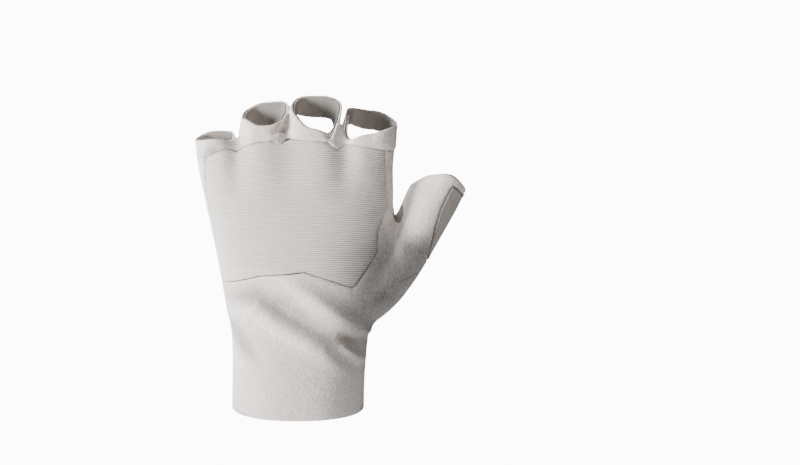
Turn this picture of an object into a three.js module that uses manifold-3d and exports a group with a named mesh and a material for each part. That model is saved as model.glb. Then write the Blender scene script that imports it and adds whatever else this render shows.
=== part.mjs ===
// Climbing glove for a left hand: a leather back with an open palm, four finger loops,
// a thumb loop and a strapped cuff. Millimetres. +Z runs to the fingers, -Y is the back
// of the hand and +X is the thumb side. The origin is the centre of the wrist opening.
import * as THREE from 'three';
import { mergeVertices } from 'three/addons/utils/BufferGeometryUtils.js';
import Module from 'manifold-3d';

// Driving dimensions
const BACK_LENGTH = 142;      // wrist edge to the knuckle seam
const KNUCKLE_WIDTH = 100;
const WRIST_DEPTH = 43;
const LOOP_HEIGHT = 12;       // palm-side band of a finger loop
const FINGER_DEPTH = 26;
const FINGER_SQUARE = 2.6;    // superellipse exponent of a finger opening on the back
const PALM_SQUARE = 3.2;      // and on the palm side
const LOOP_WALL = 1.5;
const SHELL_WALL = 1.4;
const LINING_WALL = 0.9;
const PANEL_RELIEF = 0.4;     // how far the ribbed panel stands proud
const GAP = 0.3;              // clearance between neighbouring pieces
const RIM_SLANT = 0.3;        // how much the thumb rim drops per millimetre towards the palm
const THUMB_WIDTH = 25;
const RIM_BINDING = 2.6;      // leather left round the thumb rim above the pad band
const CUFF_EDGE_Y = 3;        // where the thumb-side edge of the back lies
const BINDING_WIDTH = 2;
const PATCH_THICKNESS = 1.1;
const STRAP_THICKNESS = 1.5;
const STRAP_WIDTH = 17;
const STRAP_LOW = 14;         // lower edge of the strap above the wrist edge
const STRAP_TIP = 9;          // length of the strap's pointed end
const TAB_WIDTH = 6.8;
const TAB_THICKNESS = 1.2;
const TAB_LENGTH = 27.7;
const TAB_TOP = 0.955;        // share of BACK_LENGTH where the tabs begin

// Mesh fineness
const AROUND_HAND = 42;
const AROUND_THUMB = 20;
const AROUND_FINGER = 24;
// Heights of the hand's rings, as shares of BACK_LENGTH, closest where the folds are
const RING_HEIGHTS = [
  -0.04, 0.06, 0.13, 0.17, 0.205, 0.24, 0.275, 0.31, 0.345, 0.38, 0.415, 0.45, 0.485,
  0.54, 0.64, 0.75, 0.84, 0.91, 0.97, 1.03,
];

// Cross sections of the hand. up is a share of BACK_LENGTH, left and right of
// KNUCKLE_WIDTH, back and palm of WRIST_DEPTH; square is the superellipse exponent.
const HAND_SECTIONS = [
  { up: -0.04, left: -0.337, right: 0.333, back: 0.58, palm: 0.42, square: 2.2 },
  { up: 0.06, left: -0.334, right: 0.334, back: 0.575, palm: 0.42, square: 2.2 },
  { up: 0.14, left: -0.331, right: 0.338, back: 0.56, palm: 0.42, square: 2.2 },
  { up: 0.22, left: -0.33, right: 0.347, back: 0.535, palm: 0.43, square: 2.2 },
  { up: 0.29, left: -0.338, right: 0.362, back: 0.505, palm: 0.45, square: 2.2 },
  { up: 0.36, left: -0.357, right: 0.385, back: 0.47, palm: 0.46, square: 2.25 },
  { up: 0.44, left: -0.376, right: 0.42, back: 0.43, palm: 0.455, square: 2.3 },
  { up: 0.55, left: -0.403, right: 0.455, back: 0.395, palm: 0.44, square: 2.35 },
  { up: 0.67, left: -0.436, right: 0.477, back: 0.37, palm: 0.41, square: 2.4 },
  { up: 0.79, left: -0.47, right: 0.476, back: 0.35, palm: 0.37, square: 2.6 },
  { up: 0.88, left: -0.494, right: 0.474, back: 0.33, palm: 0.335, square: 2.8 },
  { up: 0.95, left: -0.503, right: 0.482, back: 0.315, palm: 0.315, square: 3.0 },
  { up: 1.03, left: -0.506, right: 0.494, back: 0.31, palm: 0.31, square: 3.0 },
];

// Cross sections of the thumb. x, y and z are its axis, as shares of KNUCKLE_WIDTH,
// WRIST_DEPTH and BACK_LENGTH; wide and deep are half sizes, as shares of THUMB_WIDTH.
const THUMB_SECTIONS = [
  { x: 0.2, z: 0.345, y: 0.1, wide: 0.42, deep: 0.56 },
  { x: 0.3, z: 0.375, y: 0.1, wide: 0.5, deep: 0.64 },
  { x: 0.395, z: 0.435, y: 0.11, wide: 0.53, deep: 0.62 },
  { x: 0.48, z: 0.51, y: 0.12, wide: 0.52, deep: 0.57 },
  { x: 0.555, z: 0.59, y: 0.13, wide: 0.495, deep: 0.53 },
  { x: 0.614, z: 0.67, y: 0.14, wide: 0.51, deep: 0.5 },
  { x: 0.66, z: 0.737, y: 0.14, wide: 0.53, deep: 0.485 },
  { x: 0.71, z: 0.805, y: 0.14, wide: 0.52, deep: 0.48 },
  { x: 0.752, z: 0.862, y: 0.14, wide: 0.5, deep: 0.48 },
];

// Soft folds of the cuff and back, as ridges (+) and valleys (-), each along a short line.
// Across and up are shares of KNUCKLE_WIDTH and BACK_LENGTH, reach and rise of WRIST_DEPTH.
const FOLDS = [
  { reach: 0.11, rise: 0.074, across: [-0.08, 0.085, 0.21, 0.36], up: [0.51, 0.433, 0.37, 0.3] },
  {
    reach: 0.12, rise: -0.07,
    across: [-0.36, -0.19, -0.04, 0.15, 0.24], up: [0.41, 0.437, 0.37, 0.306, 0.28],
  },
  {
    reach: 0.13, rise: 0.065,
    across: [-0.36, -0.2, -0.05, 0.11, 0.3], up: [0.38, 0.387, 0.333, 0.269, 0.16],
  },
  { reach: 0.09, rise: -0.047, across: [-0.34, -0.28, -0.2], up: [0.33, 0.27, 0.22] },
  { reach: 0.08, rise: -0.07, across: [0.2, 0.36], up: [0.3, 0.24] },
  { reach: 0.07, rise: -0.016, across: [0.38, 0.48], up: [0.401, 0.43] },
];

// Gaps between the fingers, as shares of KNUCKLE_WIDTH
const WEBS = [-0.295, -0.041, 0.232];
const WEB_REACH = 4.5;
const WEB_DEPTH = 0.36;
const WEB_START = 0.74;       // share of BACK_LENGTH where the valleys begin

// Knuckle seam on the back, as shares of KNUCKLE_WIDTH and BACK_LENGTH
const KNUCKLE_SEAM = [
  { x: -0.7, z: 0.915 }, { x: -0.5, z: 0.918 }, { x: -0.46, z: 0.925 },
  { x: -0.4, z: 0.951 }, { x: -0.345, z: 0.966 }, { x: -0.295, z: 0.949 },
  { x: -0.265, z: 0.971 }, { x: -0.21, z: 0.985 }, { x: -0.12, z: 0.995 },
  { x: -0.083, z: 0.975 }, { x: -0.05, z: 0.998 }, { x: 0.04, z: 0.994 },
  { x: 0.15, z: 0.988 }, { x: 0.197, z: 0.96 }, { x: 0.235, z: 0.976 },
  { x: 0.29, z: 0.975 }, { x: 0.36, z: 0.967 }, { x: 0.43, z: 0.952 },
  { x: 0.5, z: 0.945 }, { x: 0.7, z: 0.94 },
];

// Finger loops. Each spreads from its foot to its top, whose sides are shares of
// KNUCKLE_WIDTH; levels are the heights of both. Levels, rim and hem are heights above
// BACK_LENGTH as shares of LOOP_HEIGHT; rim and hem run through eight places round.
const PLACES = [
  'thumbSide', 'palmThumb', 'palm', 'palmPinky', 'pinkySide', 'backPinky', 'back', 'backThumb',
];
const LOOPS = [
  {
    name: 'pinky', levels: [-0.6, 0], foot: [-0.5, -0.296], top: [-0.511, -0.319],
    rim: [-0.09, -0.09, -0.12, -0.27, -0.25, -0.1, -0.01, -0.07],
    hem: [-0.55, -0.75, -1.2, -1.7, -1.2, -1.1, -0.9, -0.62],
  },
  {
    name: 'ring', levels: [-0.2, 1], foot: [-0.292, -0.084], top: [-0.269, -0.045],
    rim: [1.06, 1.15, 1.09, 0.86, 0.72, 0.74, 0.55, 0.72],
    hem: [-0.3, 0.1, -0.05, -0.3, -0.6, -0.6, -0.45, -0.4],
  },
  {
    name: 'middle', levels: [-0.2, 1.25], foot: [-0.08, 0.193], top: [-0.026, 0.224],
    rim: [1.02, 1.24, 1.36, 1.31, 1.14, 0.92, 0.46, 0.26],
    hem: [-0.3, 0.28, 0.38, 0.5, 0.1, -0.4, -0.4, -0.6],
  },
  {
    name: 'index', levels: [-0.4, 0.85], foot: [0.197, 0.485], top: [0.243, 0.5],
    rim: [0.4, 0.47, 0.75, 0.9, 0.84, 0, 0.23, 0.42],
    hem: [-0.62, -0.35, -0.12, 0.12, -0.3, -0.6, -0.6, -0.8],
  },
];

// Outlines seen from the back or the palm, as shares of KNUCKLE_WIDTH and BACK_LENGTH
const RIBBED_SIDES = [
  { x: 0.437, z: 0.85 }, { x: 0.448, z: 0.757 }, { x: 0.4, z: 0.667 }, { x: 0.395, z: 0.584 },
  { x: 0.28, z: 0.468 }, { x: 0.035, z: 0.528 }, { x: -0.19, z: 0.511 }, { x: -0.372, z: 0.472 },
  { x: -0.405, z: 0.606 }, { x: -0.435, z: 0.706 }, { x: -0.455, z: 0.81 },
];
const HEEL_EDGE = [
  { x: -0.47, z: 0.69 }, { x: -0.41, z: 0.6 }, { x: -0.33, z: 0.505 }, { x: -0.252, z: 0.45 },
  { x: -0.12, z: 0.392 }, { x: 0.067, z: 0.322 }, { x: 0.17, z: 0.268 },
];
const FLAP_EDGE = [
  { x: 0.2, z: 0.2 }, { x: 0.19, z: 0.11 }, { x: 0.105, z: 0.062 }, { x: -0.01, z: 0.028 },
  { x: -0.1, z: 0.012 }, { x: -0.16, z: -0.06 },
];
const THUMB_BAND_FOOT = { inner: { x: 0.49, z: 0.675 }, outer: { x: 0.7, z: 0.53 } };
const THUMB_RIM = [
  { x: 0.51, z: 0.8 }, { x: 0.6, z: 0.836 }, { x: 0.66, z: 0.85 }, { x: 0.76, z: 0.845 },
  { x: 0.825, z: 0.812 }, { x: 0.9, z: 0.74 },
];
const PATCH_OUTLINE = [
  { x: 0.185, z: 0.249 }, { x: -0.257, z: 0.243 }, { x: -0.278, z: 0.13 }, { x: -0.3, z: 0.02 },
  { x: -0.133, z: 0.026 }, { x: -0.015, z: 0.04 }, { x: 0.098, z: 0.07 }, { x: 0.184, z: 0.105 },
];
const TABS = [
  { name: 'index', top: 0.245, foot: 0.195 },
  { name: 'middle', top: -0.04, foot: -0.015 },
  { name: 'ring', top: -0.27, foot: -0.225 },
];
const STRAP_TIP_X = -0.037;
const UNDERFLAP_TOP = 0.235;
const UNDERFLAP_X = -0.2;       // how far the cuff's under layer runs below the flap
const STRAP_ROOT_Y = 7;        // where the strap is sewn down on the thumb side

const FAR = 200;
const wasm = await Module();
wasm.setup();

// Closed geometry to solid and back
function toSolid(geometry) {
  const bare = geometry.clone();
  bare.deleteAttribute('normal');
  bare.deleteAttribute('uv');
  const merged = mergeVertices(bare, 1e-5);
  return new wasm.Manifold(new wasm.Mesh({
    numProp: 3,
    vertProperties: new Float32Array(merged.attributes.position.array),
    triVerts: new Uint32Array(merged.index.array),
  }));
}

function toGeometry(solid) {
  const mesh = solid.getMesh();
  const geometry = new THREE.BufferGeometry();
  geometry.setAttribute('position', new THREE.BufferAttribute(mesh.vertProperties.slice(), 3));
  geometry.setIndex(new THREE.BufferAttribute(mesh.triVerts.slice(), 1));
  geometry.computeVertexNormals();
  return geometry;
}

// A closed body through rings of points, with a fan on each end, or closed on itself
function throughRings(rings, closed = false) {
  const count = rings[0].length;
  const points = rings.flat();
  const faces = [];
  const steps = closed ? rings.length : rings.length - 1;
  for (let r = 0; r < steps; r += 1) {
    const low = r * count;
    const high = ((r + 1) % rings.length) * count;
    for (let i = 0; i < count; i += 1) {
      const j = (i + 1) % count;
      faces.push(low + i, low + j, high + j, low + i, high + j, high + i);
    }
  }
  if (!closed) {
    for (const [ring, start, flip] of [[rings[0], 0, true], [rings.at(-1), points.length - count, false]]) {
      const middle = points.length;
      points.push(ring.reduce((sum, p) => sum.add(p), new THREE.Vector3()).divideScalar(count));
      for (let i = 0; i < count; i += 1) {
        const j = (i + 1) % count;
        faces.push(middle, start + (flip ? j : i), start + (flip ? i : j));
      }
    }
  }
  const geometry = new THREE.BufferGeometry().setFromPoints(points);
  geometry.setIndex(faces);
  return geometry;
}

// A place given by its shares, in the XZ plane
const place = (row) => new THREE.Vector2(row.x * KNUCKLE_WIDTH, row.z * BACK_LENGTH);

// Catmull-Rom blend of one column of a table at a share t of its rows
function column(rows, key, t) {
  const place = t * (rows.length - 1);
  const i = Math.min(Math.floor(place), rows.length - 2);
  const f = place - i;
  const [a, b, c, d] = [-1, 0, 1, 2].map((k) => rows[THREE.MathUtils.clamp(i + k, 0, rows.length - 1)][key]);
  return b + 0.5 * f * (c - a + f * (2 * a - 5 * b + 4 * c - d + f * (3 * (b - c) + d - a)));
}

// Height of the soft folds at a place on the back. Each fold fades out at both ends.
function foldRise(x, z) {
  const here = new THREE.Vector2(x, z);
  let rise = 0;
  for (const fold of FOLDS) {
    const line = fold.across.map((share, i) => place({ x: share, z: fold.up[i] }));
    let [away, along] = [Infinity, 0];
    for (let i = 0; i < line.length - 1; i += 1) {
      const run = line[i + 1].clone().sub(line[i]);
      const share = THREE.MathUtils.clamp(here.clone().sub(line[i]).dot(run) / run.lengthSq(), 0, 1);
      const distance = here.distanceTo(line[i].clone().addScaledVector(run, share));
      if (distance < away) [away, along] = [distance, (i + share) / (line.length - 1)];
    }
    const fade = 0.35 + 0.65 * Math.sin(Math.PI * along) ** 0.6;
    rise += fold.rise * WRIST_DEPTH * Math.exp(-((away / (fold.reach * WRIST_DEPTH)) ** 2)) * fade;
  }
  return rise;
}

// How far the valleys between the knuckles are let in, from 0 to WEB_DEPTH
function webValley(x, z) {
  const start = THREE.MathUtils.smoothstep(z / BACK_LENGTH, WEB_START, 0.99);
  const away = WEBS.map((web) => (x - web * KNUCKLE_WIDTH) / WEB_REACH);
  const near = away.reduce((sum, share) => sum + Math.exp(-(share ** 2)), 0);
  return WEB_DEPTH * start * near;
}

const power = (value, exponent) => Math.sign(value) * Math.abs(value) ** exponent;

// The hand's form, let in by inset all round
function handForm(inset) {
  const insetAt = typeof inset === 'function' ? inset : () => inset;
  const rings = [];
  for (const up of RING_HEIGHTS) {
    const below = Math.max(HAND_SECTIONS.slice(0, -1).findLastIndex((row) => row.up <= up), 0);
    const [low, high] = [HAND_SECTIONS[below].up, HAND_SECTIONS[below + 1].up];
    const along = THREE.MathUtils.clamp((up - low) / (high - low), 0, 1);
    const t = (below + along) / (HAND_SECTIONS.length - 1);
    const at = (key) => column(HAND_SECTIONS, key, t);
    const z = up * BACK_LENGTH;
    const [left, right] = [at('left') * KNUCKLE_WIDTH, at('right') * KNUCKLE_WIDTH];
    const [back, palm] = [at('back') * WRIST_DEPTH, at('palm') * WRIST_DEPTH];
    const ring = [];
    for (let i = 0; i < AROUND_HAND; i += 1) {
      const angle = (i / AROUND_HAND) * 2 * Math.PI;
      const letIn = insetAt(angle);
      const half = (right - left) / 2 - letIn;
      const x = (left + right) / 2 + half * power(Math.cos(angle), 2 / at('square'));
      const out = power(Math.sin(angle), 2 / at('square'));
      const onBack = Math.max(0, -out);
      const backDepth = (back - letIn) * (1 - webValley(x, z)) + foldRise(x, z) * Math.sqrt(onBack);
      const depth = out > 0 ? palm - letIn : backDepth;
      ring.push(new THREE.Vector3(x, out * depth, z));
    }
    rings.push(ring);
  }
  return toSolid(throughRings(rings));
}

// Axis of the thumb, and its form let in by inset
function thumbAxis(t) {
  const x = column(THUMB_SECTIONS, 'x', t) * KNUCKLE_WIDTH;
  const z = column(THUMB_SECTIONS, 'z', t) * BACK_LENGTH;
  return new THREE.Vector3(x, column(THUMB_SECTIONS, 'y', t) * WRIST_DEPTH, z);
}

function thumbForm(inset) {
  const rows = THUMB_SECTIONS.length;
  const rings = [];
  for (let r = 0; r < rows; r += 1) {
    const t = r / (rows - 1);
    const centre = thumbAxis(t);
    const [ahead, behind] = [Math.min(t + 0.02, 1), Math.max(t - 0.02, 0)];
    const tangent = thumbAxis(ahead).sub(thumbAxis(behind)).setY(0).normalize();
    const across = new THREE.Vector3(tangent.z, 0, -tangent.x);
    const wide = column(THUMB_SECTIONS, 'wide', t) * THUMB_WIDTH - inset;
    const deep = column(THUMB_SECTIONS, 'deep', t) * THUMB_WIDTH - inset;
    const ring = [];
    for (let i = 0; i < AROUND_THUMB; i += 1) {
      const angle = (i / AROUND_THUMB) * 2 * Math.PI;
      const point = centre.clone().addScaledVector(across, wide * Math.cos(angle));
      point.y += deep * Math.sin(angle);
      ring.push(point);
    }
    rings.push(ring);
  }
  return toSolid(throughRings(rings));
}

function smoothLine(rows, steps) {
  return new THREE.SplineCurve(rows.map(place)).getPoints(steps);
}

// A straight-sided cutter: an outline in the XZ plane, from one Y to another
function cutter(points, fromY, toY) {
  const shape = new THREE.Shape(points);
  const geometry = new THREE.ExtrudeGeometry(shape, { depth: toY - fromY, bevelEnabled: false });
  return toSolid(geometry.rotateX(Math.PI / 2).translate(0, toY, 0));
}

// The same line moved sideways, to its left when distance is positive
function besideLine(points, distance) {
  return points.map((point, i) => {
    const ahead = points[Math.min(i + 1, points.length - 1)];
    const behind = points[Math.max(i - 1, 0)];
    const run = ahead.clone().sub(behind).normalize();
    return new THREE.Vector2(point.x - run.y * distance, point.y + run.x * distance);
  });
}

const box = (x0, z0, x1, z1) => [
  new THREE.Vector2(x0, z0), new THREE.Vector2(x1, z0),
  new THREE.Vector2(x1, z1), new THREE.Vector2(x0, z1),
];

// Layer of the hand and thumb between two insets
function layer(outerInset, innerInset) {
  const outer = handForm(outerInset).add(thumbForm(outerInset));
  const inner = handForm(innerInset).add(thumbForm(innerInset));
  return outer.subtract(inner);
}

// Everything that lies past the wrist edge, the knuckle seam or the thumb rim
const seamLine = KNUCKLE_SEAM.map(place);
const thumbTop = smoothLine(THUMB_RIM, 14);
const THUMB_SIDE_X = 0.505 * KNUCKLE_WIDTH;
const pastWrist = cutter(box(-FAR, -FAR, FAR, 0), -FAR, FAR);
const pastKnuckles = cutter(
  [
    ...seamLine.filter((p) => p.x < THUMB_SIDE_X + 1),
    new THREE.Vector2(THUMB_SIDE_X, FAR), new THREE.Vector2(-FAR, FAR),
  ],
  -FAR, FAR,
);
const pastRim = cutter(
  [...thumbTop, new THREE.Vector2(FAR, FAR), new THREE.Vector2(THUMB_SIDE_X, FAR)], -FAR, FAR,
);
const pastThumb = pastRim.warp((v) => { v[2] -= RIM_SLANT * v[1]; });

function trimmed(solid) {
  return solid.subtract(pastWrist).subtract(pastKnuckles).subtract(pastThumb);
}

// The open palm: past the heel flap's edge, the thumb-side edge and the foot of the thumb band
const heelEdge = smoothLine(HEEL_EDGE, 20);
const flapEdge = smoothLine(FLAP_EDGE, 14);
const foot = THUMB_BAND_FOOT;
function palmOpening(heelShift, flapShift = 0) {
  const edge = [...besideLine(heelEdge, heelShift), ...besideLine(flapEdge, flapShift)];
  const outline = [
    ...edge, new THREE.Vector2(FAR, edge.at(-1).y), new THREE.Vector2(FAR, place(foot.outer).y),
    place(foot.outer), place(foot.inner), new THREE.Vector2(THUMB_SIDE_X, FAR),
    new THREE.Vector2(-FAR, FAR), new THREE.Vector2(-FAR, edge[0].y),
  ];
  return cutter(outline, CUFF_EDGE_Y, FAR);
}

// Outline of the ribbed panel, grown by margin on every side
function ribbedOutline(margin) {
  const top = KNUCKLE_SEAM.filter((row) => row.x > -0.465 && row.x < 0.44).map(place);
  const outline = [...top, ...RIBBED_SIDES.map(place)];
  const middle = new THREE.Vector2(0, 0.72 * BACK_LENGTH);
  return outline.map((p) => p.clone().sub(middle).setLength(p.distanceTo(middle) + margin).add(middle));
}

// The thumb band's share of the thumb: outward and palmward of a slanted face, from its
// foot to just below the rim. The face meets each ring at a palm and a back corner.
const BAND_FACE = {
  palm: [-0.26, 0.45], backAtFoot: [0.44, -0.2], backAtRim: [0.27, -0.36], start: 0.48, past: 8,
};
function thumbBandRegion(margin) {
  const low = thumbAxis(BAND_FACE.start);
  const high = thumbAxis(1);
  const tangent = high.clone().sub(low).normalize();
  const across = new THREE.Vector3(tangent.z, 0, -tangent.x);
  const ring = (centre, back) => {
    const [first, second] = [BAND_FACE.palm, back].map(
      ([u, v]) => new THREE.Vector2(u * THUMB_WIDTH, v * THUMB_WIDTH),
    );
    const run = second.clone().sub(first).normalize();
    const side = new THREE.Vector2(-run.y, run.x);
    const start = first.addScaledVector(run, -FAR / 4).addScaledVector(side, -margin);
    const end = second.addScaledVector(run, FAR / 4).addScaledVector(side, -margin);
    const far = [end, start].map((p) => p.clone().addScaledVector(side, FAR / 3));
    return [start, end, ...far].map(
      (p) => centre.clone().addScaledVector(across, p.x).add(new THREE.Vector3(0, p.y, 0)),
    );
  };
  const region = toSolid(throughRings([
    ring(low.addScaledVector(tangent, -margin), BAND_FACE.backAtFoot),
    ring(high.addScaledVector(tangent, BAND_FACE.past), BAND_FACE.backAtRim),
  ]));
  return region.subtract(pastThumb.translate([0, 0, margin - RIM_BINDING]));
}

const group = new THREE.Group();
function addPiece(name, shape, colour, roughness) {
  const geometry = shape.isBufferGeometry ? shape : toGeometry(shape);
  const material = new THREE.MeshStandardMaterial({ color: colour, roughness, metalness: 0 });
  const mesh = new THREE.Mesh(geometry, material);
  mesh.name = name;
  group.add(mesh);
}

const WHITE_SUEDE = 0xdeD9d6;
const RIBBED_GREY = 0xd2ceca;
const GREY_SUEDE = 0x8c8782;
const TAB_SUEDE = 0x736e6a;
const BINDING_GREY = 0xb9b3ae;
const BLACK_PILE = 0x050505;
const BLACK_STRAP = 0x121212;

// Leather back with its cuff, heel flap and thumb
const bandRegion = thumbBandRegion(0);
const shell = trimmed(layer(0, SHELL_WALL))
  .subtract(palmOpening(-BINDING_WIDTH - GAP))
  .subtract(cutter(ribbedOutline(GAP), -FAR, 0))
  .subtract(thumbBandRegion(GAP));
addPiece('back_shell', shell, WHITE_SUEDE, 0.85);

// Ribbed panel let into the back
const ribbed = layer(-PANEL_RELIEF, SHELL_WALL)
  .intersect(cutter(ribbedOutline(0), -FAR, 0))
  .subtract(pastKnuckles);
addPiece('ribbed_panel', ribbed, RIBBED_GREY, 0.6);

// Grey lining behind the back and inside the thumb
const liningTop = SHELL_WALL + GAP;
const lining = trimmed(layer(liningTop, liningTop + LINING_WALL)).subtract(palmOpening(0));
addPiece('back_lining', lining, GREY_SUEDE, 0.9);

// Textured pad band of the thumb loop
const band = trimmed(layer(-PANEL_RELIEF / 2, SHELL_WALL)).intersect(bandRegion);
addPiece('thumb_band', band, RIBBED_GREY, 0.7);

// Binding on the heel flap's edge
const heelBox = cutter(
  box(-FAR, heelEdge.at(-1).y, heelEdge.at(-1).x, heelEdge[0].y - GAP), CUFF_EDGE_Y, FAR,
);
const binding = trimmed(layer(-PANEL_RELIEF, SHELL_WALL))
  .intersect(palmOpening(-BINDING_WIDTH).subtract(palmOpening(0)).intersect(heelBox));
addPiece('heel_binding', binding, BINDING_GREY, 0.8);

// Grey cuff layer below the closure, on the thumb side of the palm
const openCuff = cutter(
  box(UNDERFLAP_X * KNUCKLE_WIDTH, 0, FAR, UNDERFLAP_TOP * BACK_LENGTH), CUFF_EDGE_Y + GAP, FAR,
);
const underflap = trimmed(handForm(liningTop).subtract(handForm(liningTop + LINING_WALL)))
  .intersect(openCuff)
  .intersect(palmOpening(GAP, GAP));
addPiece('cuff_underflap', underflap, GREY_SUEDE, 0.9);

// Loop-pile patch on the flap, and the strap that closes over it
const patch = handForm(-GAP - PATCH_THICKNESS).subtract(handForm(-GAP))
  .intersect(cutter(PATCH_OUTLINE.map(place), 0, FAR));
addPiece('closure_patch', patch, BLACK_PILE, 1);

const tipX = STRAP_TIP_X * KNUCKLE_WIDTH;
const strapHigh = STRAP_LOW + STRAP_WIDTH;
const strapOutline = [
  new THREE.Vector2(FAR, STRAP_LOW), new THREE.Vector2(FAR, strapHigh),
  new THREE.Vector2(tipX + STRAP_TIP, strapHigh - 0.5),
  new THREE.Vector2(tipX, STRAP_LOW + 0.35 * STRAP_WIDTH),
  new THREE.Vector2(tipX + 0.42 * STRAP_TIP, STRAP_LOW),
];
const strapSeat = (angle) => -GAP - (PATCH_THICKNESS + GAP) * THREE.MathUtils.smoothstep(angle, 0.45, 0.85);
const strap = handForm((angle) => strapSeat(angle) - STRAP_THICKNESS).subtract(handForm(strapSeat))
  .intersect(cutter(strapOutline, STRAP_ROOT_Y, FAR));
addPiece('closure_strap', strap, BLACK_STRAP, 0.5);

// Finger loops: bands with a low rim on the back and a high one on the palm
function around(row, angle) {
  const turn = THREE.MathUtils.euclideanModulo(angle / (2 * Math.PI), 1) * PLACES.length;
  const i = Math.floor(turn);
  const f = turn - i;
  const [a, b, c, d] = [-1, 0, 1, 2].map((k) => row[(i + k + PLACES.length) % PLACES.length]);
  return b + 0.5 * f * (c - a + f * (2 * a - 5 * b + 4 * c - d + f * (3 * (b - c) + d - a)));
}

function fingerLoop(loop) {
  const deep = FINGER_DEPTH / 2;
  const [lowLevel, highLevel] = loop.levels;
  const rings = [];
  for (let i = 0; i < AROUND_FINGER; i += 1) {
    const angle = (i / AROUND_FINGER) * 2 * Math.PI;
    const rim = around(loop.rim, angle) * LOOP_HEIGHT;
    const hem = around(loop.hem, angle) * LOOP_HEIGHT + GAP;
    const middle = (rim + hem) / 2;
    const corner = (height, inset) => {
      const spread = THREE.MathUtils.clamp((height / LOOP_HEIGHT - lowLevel) / (highLevel - lowLevel), 0, 1);
      const [left, right] = [0, 1].map(
        (side) => THREE.MathUtils.lerp(loop.foot[side], loop.top[side], spread) * KNUCKLE_WIDTH,
      );
      const wide = (right - left) / 2 - inset;
      const square = angle < Math.PI ? PALM_SQUARE : FINGER_SQUARE;
      const x = (left + right) / 2 + wide * power(Math.cos(angle), 2 / square);
      const y = (deep - inset) * power(Math.sin(angle), 2 / square);
      return new THREE.Vector3(x, y, BACK_LENGTH + height);
    };
    rings.push([
      corner(hem, LOOP_WALL), corner(middle, LOOP_WALL), corner(rim, LOOP_WALL),
      corner(rim, 0), corner(middle, 0), corner(hem, 0),
    ]);
  }
  return throughRings(rings, true);
}
const underSeam = cutter(
  [
    ...seamLine.map((p) => new THREE.Vector2(p.x, p.y + GAP)),
    new THREE.Vector2(FAR, -FAR), new THREE.Vector2(-FAR, -FAR),
  ],
  -FAR, CUFF_EDGE_Y + GAP,
);
for (const loop of LOOPS) {
  addPiece(`loop_${loop.name}`, toSolid(fingerLoop(loop)).subtract(underSeam), WHITE_SUEDE, 0.85);
}

// Tabs of the loops, which lie on the lining below each gap between the fingers
function tab(row) {
  const under = liningTop + LINING_WALL + GAP;
  const sheet = handForm(under).subtract(handForm(under + TAB_THICKNESS));
  const top = TAB_TOP * BACK_LENGTH;
  const low = top - TAB_LENGTH;
  const half = TAB_WIDTH / 2;
  const [topX, footX] = [row.top * KNUCKLE_WIDTH, row.foot * KNUCKLE_WIDTH];
  return sheet.intersect(cutter([
    new THREE.Vector2(topX - half, top), new THREE.Vector2(footX - half, low + 1),
    new THREE.Vector2(footX - half + 1, low), new THREE.Vector2(footX + half - 1, low),
    new THREE.Vector2(footX + half, low + 1), new THREE.Vector2(topX + half, top),
  ], -FAR, 0));
}
for (const row of TABS) addPiece(`tab_${row.name}`, tab(row), TAB_SUEDE, 0.85);

export default group;
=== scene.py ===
# Open-palm climbing glove for the left hand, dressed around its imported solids.
# Blender works in metres. The glove's sizes are in millimetres here and are scaled once,
# when a mesh is made; the lights and the floor are placed in metres. +Z runs to the
# fingers, -Y is the back of the hand and +X the thumb side.
import math
import random

import bpy
import numpy as np
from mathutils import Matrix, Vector
from mathutils.bvhtree import BVHTree


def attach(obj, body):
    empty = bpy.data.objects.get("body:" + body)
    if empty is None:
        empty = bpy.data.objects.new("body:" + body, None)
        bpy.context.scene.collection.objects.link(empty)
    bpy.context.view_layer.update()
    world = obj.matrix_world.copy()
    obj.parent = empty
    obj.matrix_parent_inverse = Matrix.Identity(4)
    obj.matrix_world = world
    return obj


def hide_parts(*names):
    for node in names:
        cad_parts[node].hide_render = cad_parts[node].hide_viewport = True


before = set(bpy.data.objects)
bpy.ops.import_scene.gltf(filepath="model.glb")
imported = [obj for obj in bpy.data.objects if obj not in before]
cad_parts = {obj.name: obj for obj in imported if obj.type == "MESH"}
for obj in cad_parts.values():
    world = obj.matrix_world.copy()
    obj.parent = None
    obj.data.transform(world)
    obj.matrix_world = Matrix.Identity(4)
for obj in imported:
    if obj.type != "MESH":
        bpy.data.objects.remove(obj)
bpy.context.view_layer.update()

MM = 0.001

# Camera: the photograph's view of the back, a little from above, through a long lens.
# The glove sits left of and below the frame's middle, which the shift gives.
PHOTO_WIDTH, PHOTO_HEIGHT = 800, 465
MM_PER_PIXEL = 0.5
GLOVE_PIXEL = (330.5, 259.0)
GLOVE_MIDDLE = Vector((16.25, 0.0, 77.4)) * MM
ELEVATION = math.radians(15)
LENS, SENSOR, NEAR_CLIP = 150, 36, 0.05

camera_data = bpy.data.cameras.new("camera")
camera_data.lens = LENS
camera_data.sensor_width = SENSOR
camera_data.shift_x = (PHOTO_WIDTH / 2 - GLOVE_PIXEL[0]) / PHOTO_WIDTH
camera_data.shift_y = (GLOVE_PIXEL[1] - PHOTO_HEIGHT / 2) / PHOTO_WIDTH
camera_data.clip_start = NEAR_CLIP
camera = bpy.data.objects.new("camera", camera_data)
bpy.context.collection.objects.link(camera)
camera_reach = LENS / SENSOR * PHOTO_WIDTH * MM_PER_PIXEL * MM
camera.location = GLOVE_MIDDLE + camera_reach * Vector((0, -math.cos(ELEVATION), math.sin(ELEVATION)))
camera.rotation_euler = (math.pi / 2 - ELEVATION, 0, 0)
bpy.context.scene.camera = camera

# Studio: a soft light from the left, a little above the glove, a weak one from the front
# above, and one behind it that lights the palm. The camera sees the sky and the floor as
# white, but they light the glove only weakly.
FLOOR_DROP, FLOOR_HALF = 0.18, 6
SKY_SEEN, SKY_LIGHT = 12.0, 0.04


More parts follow.
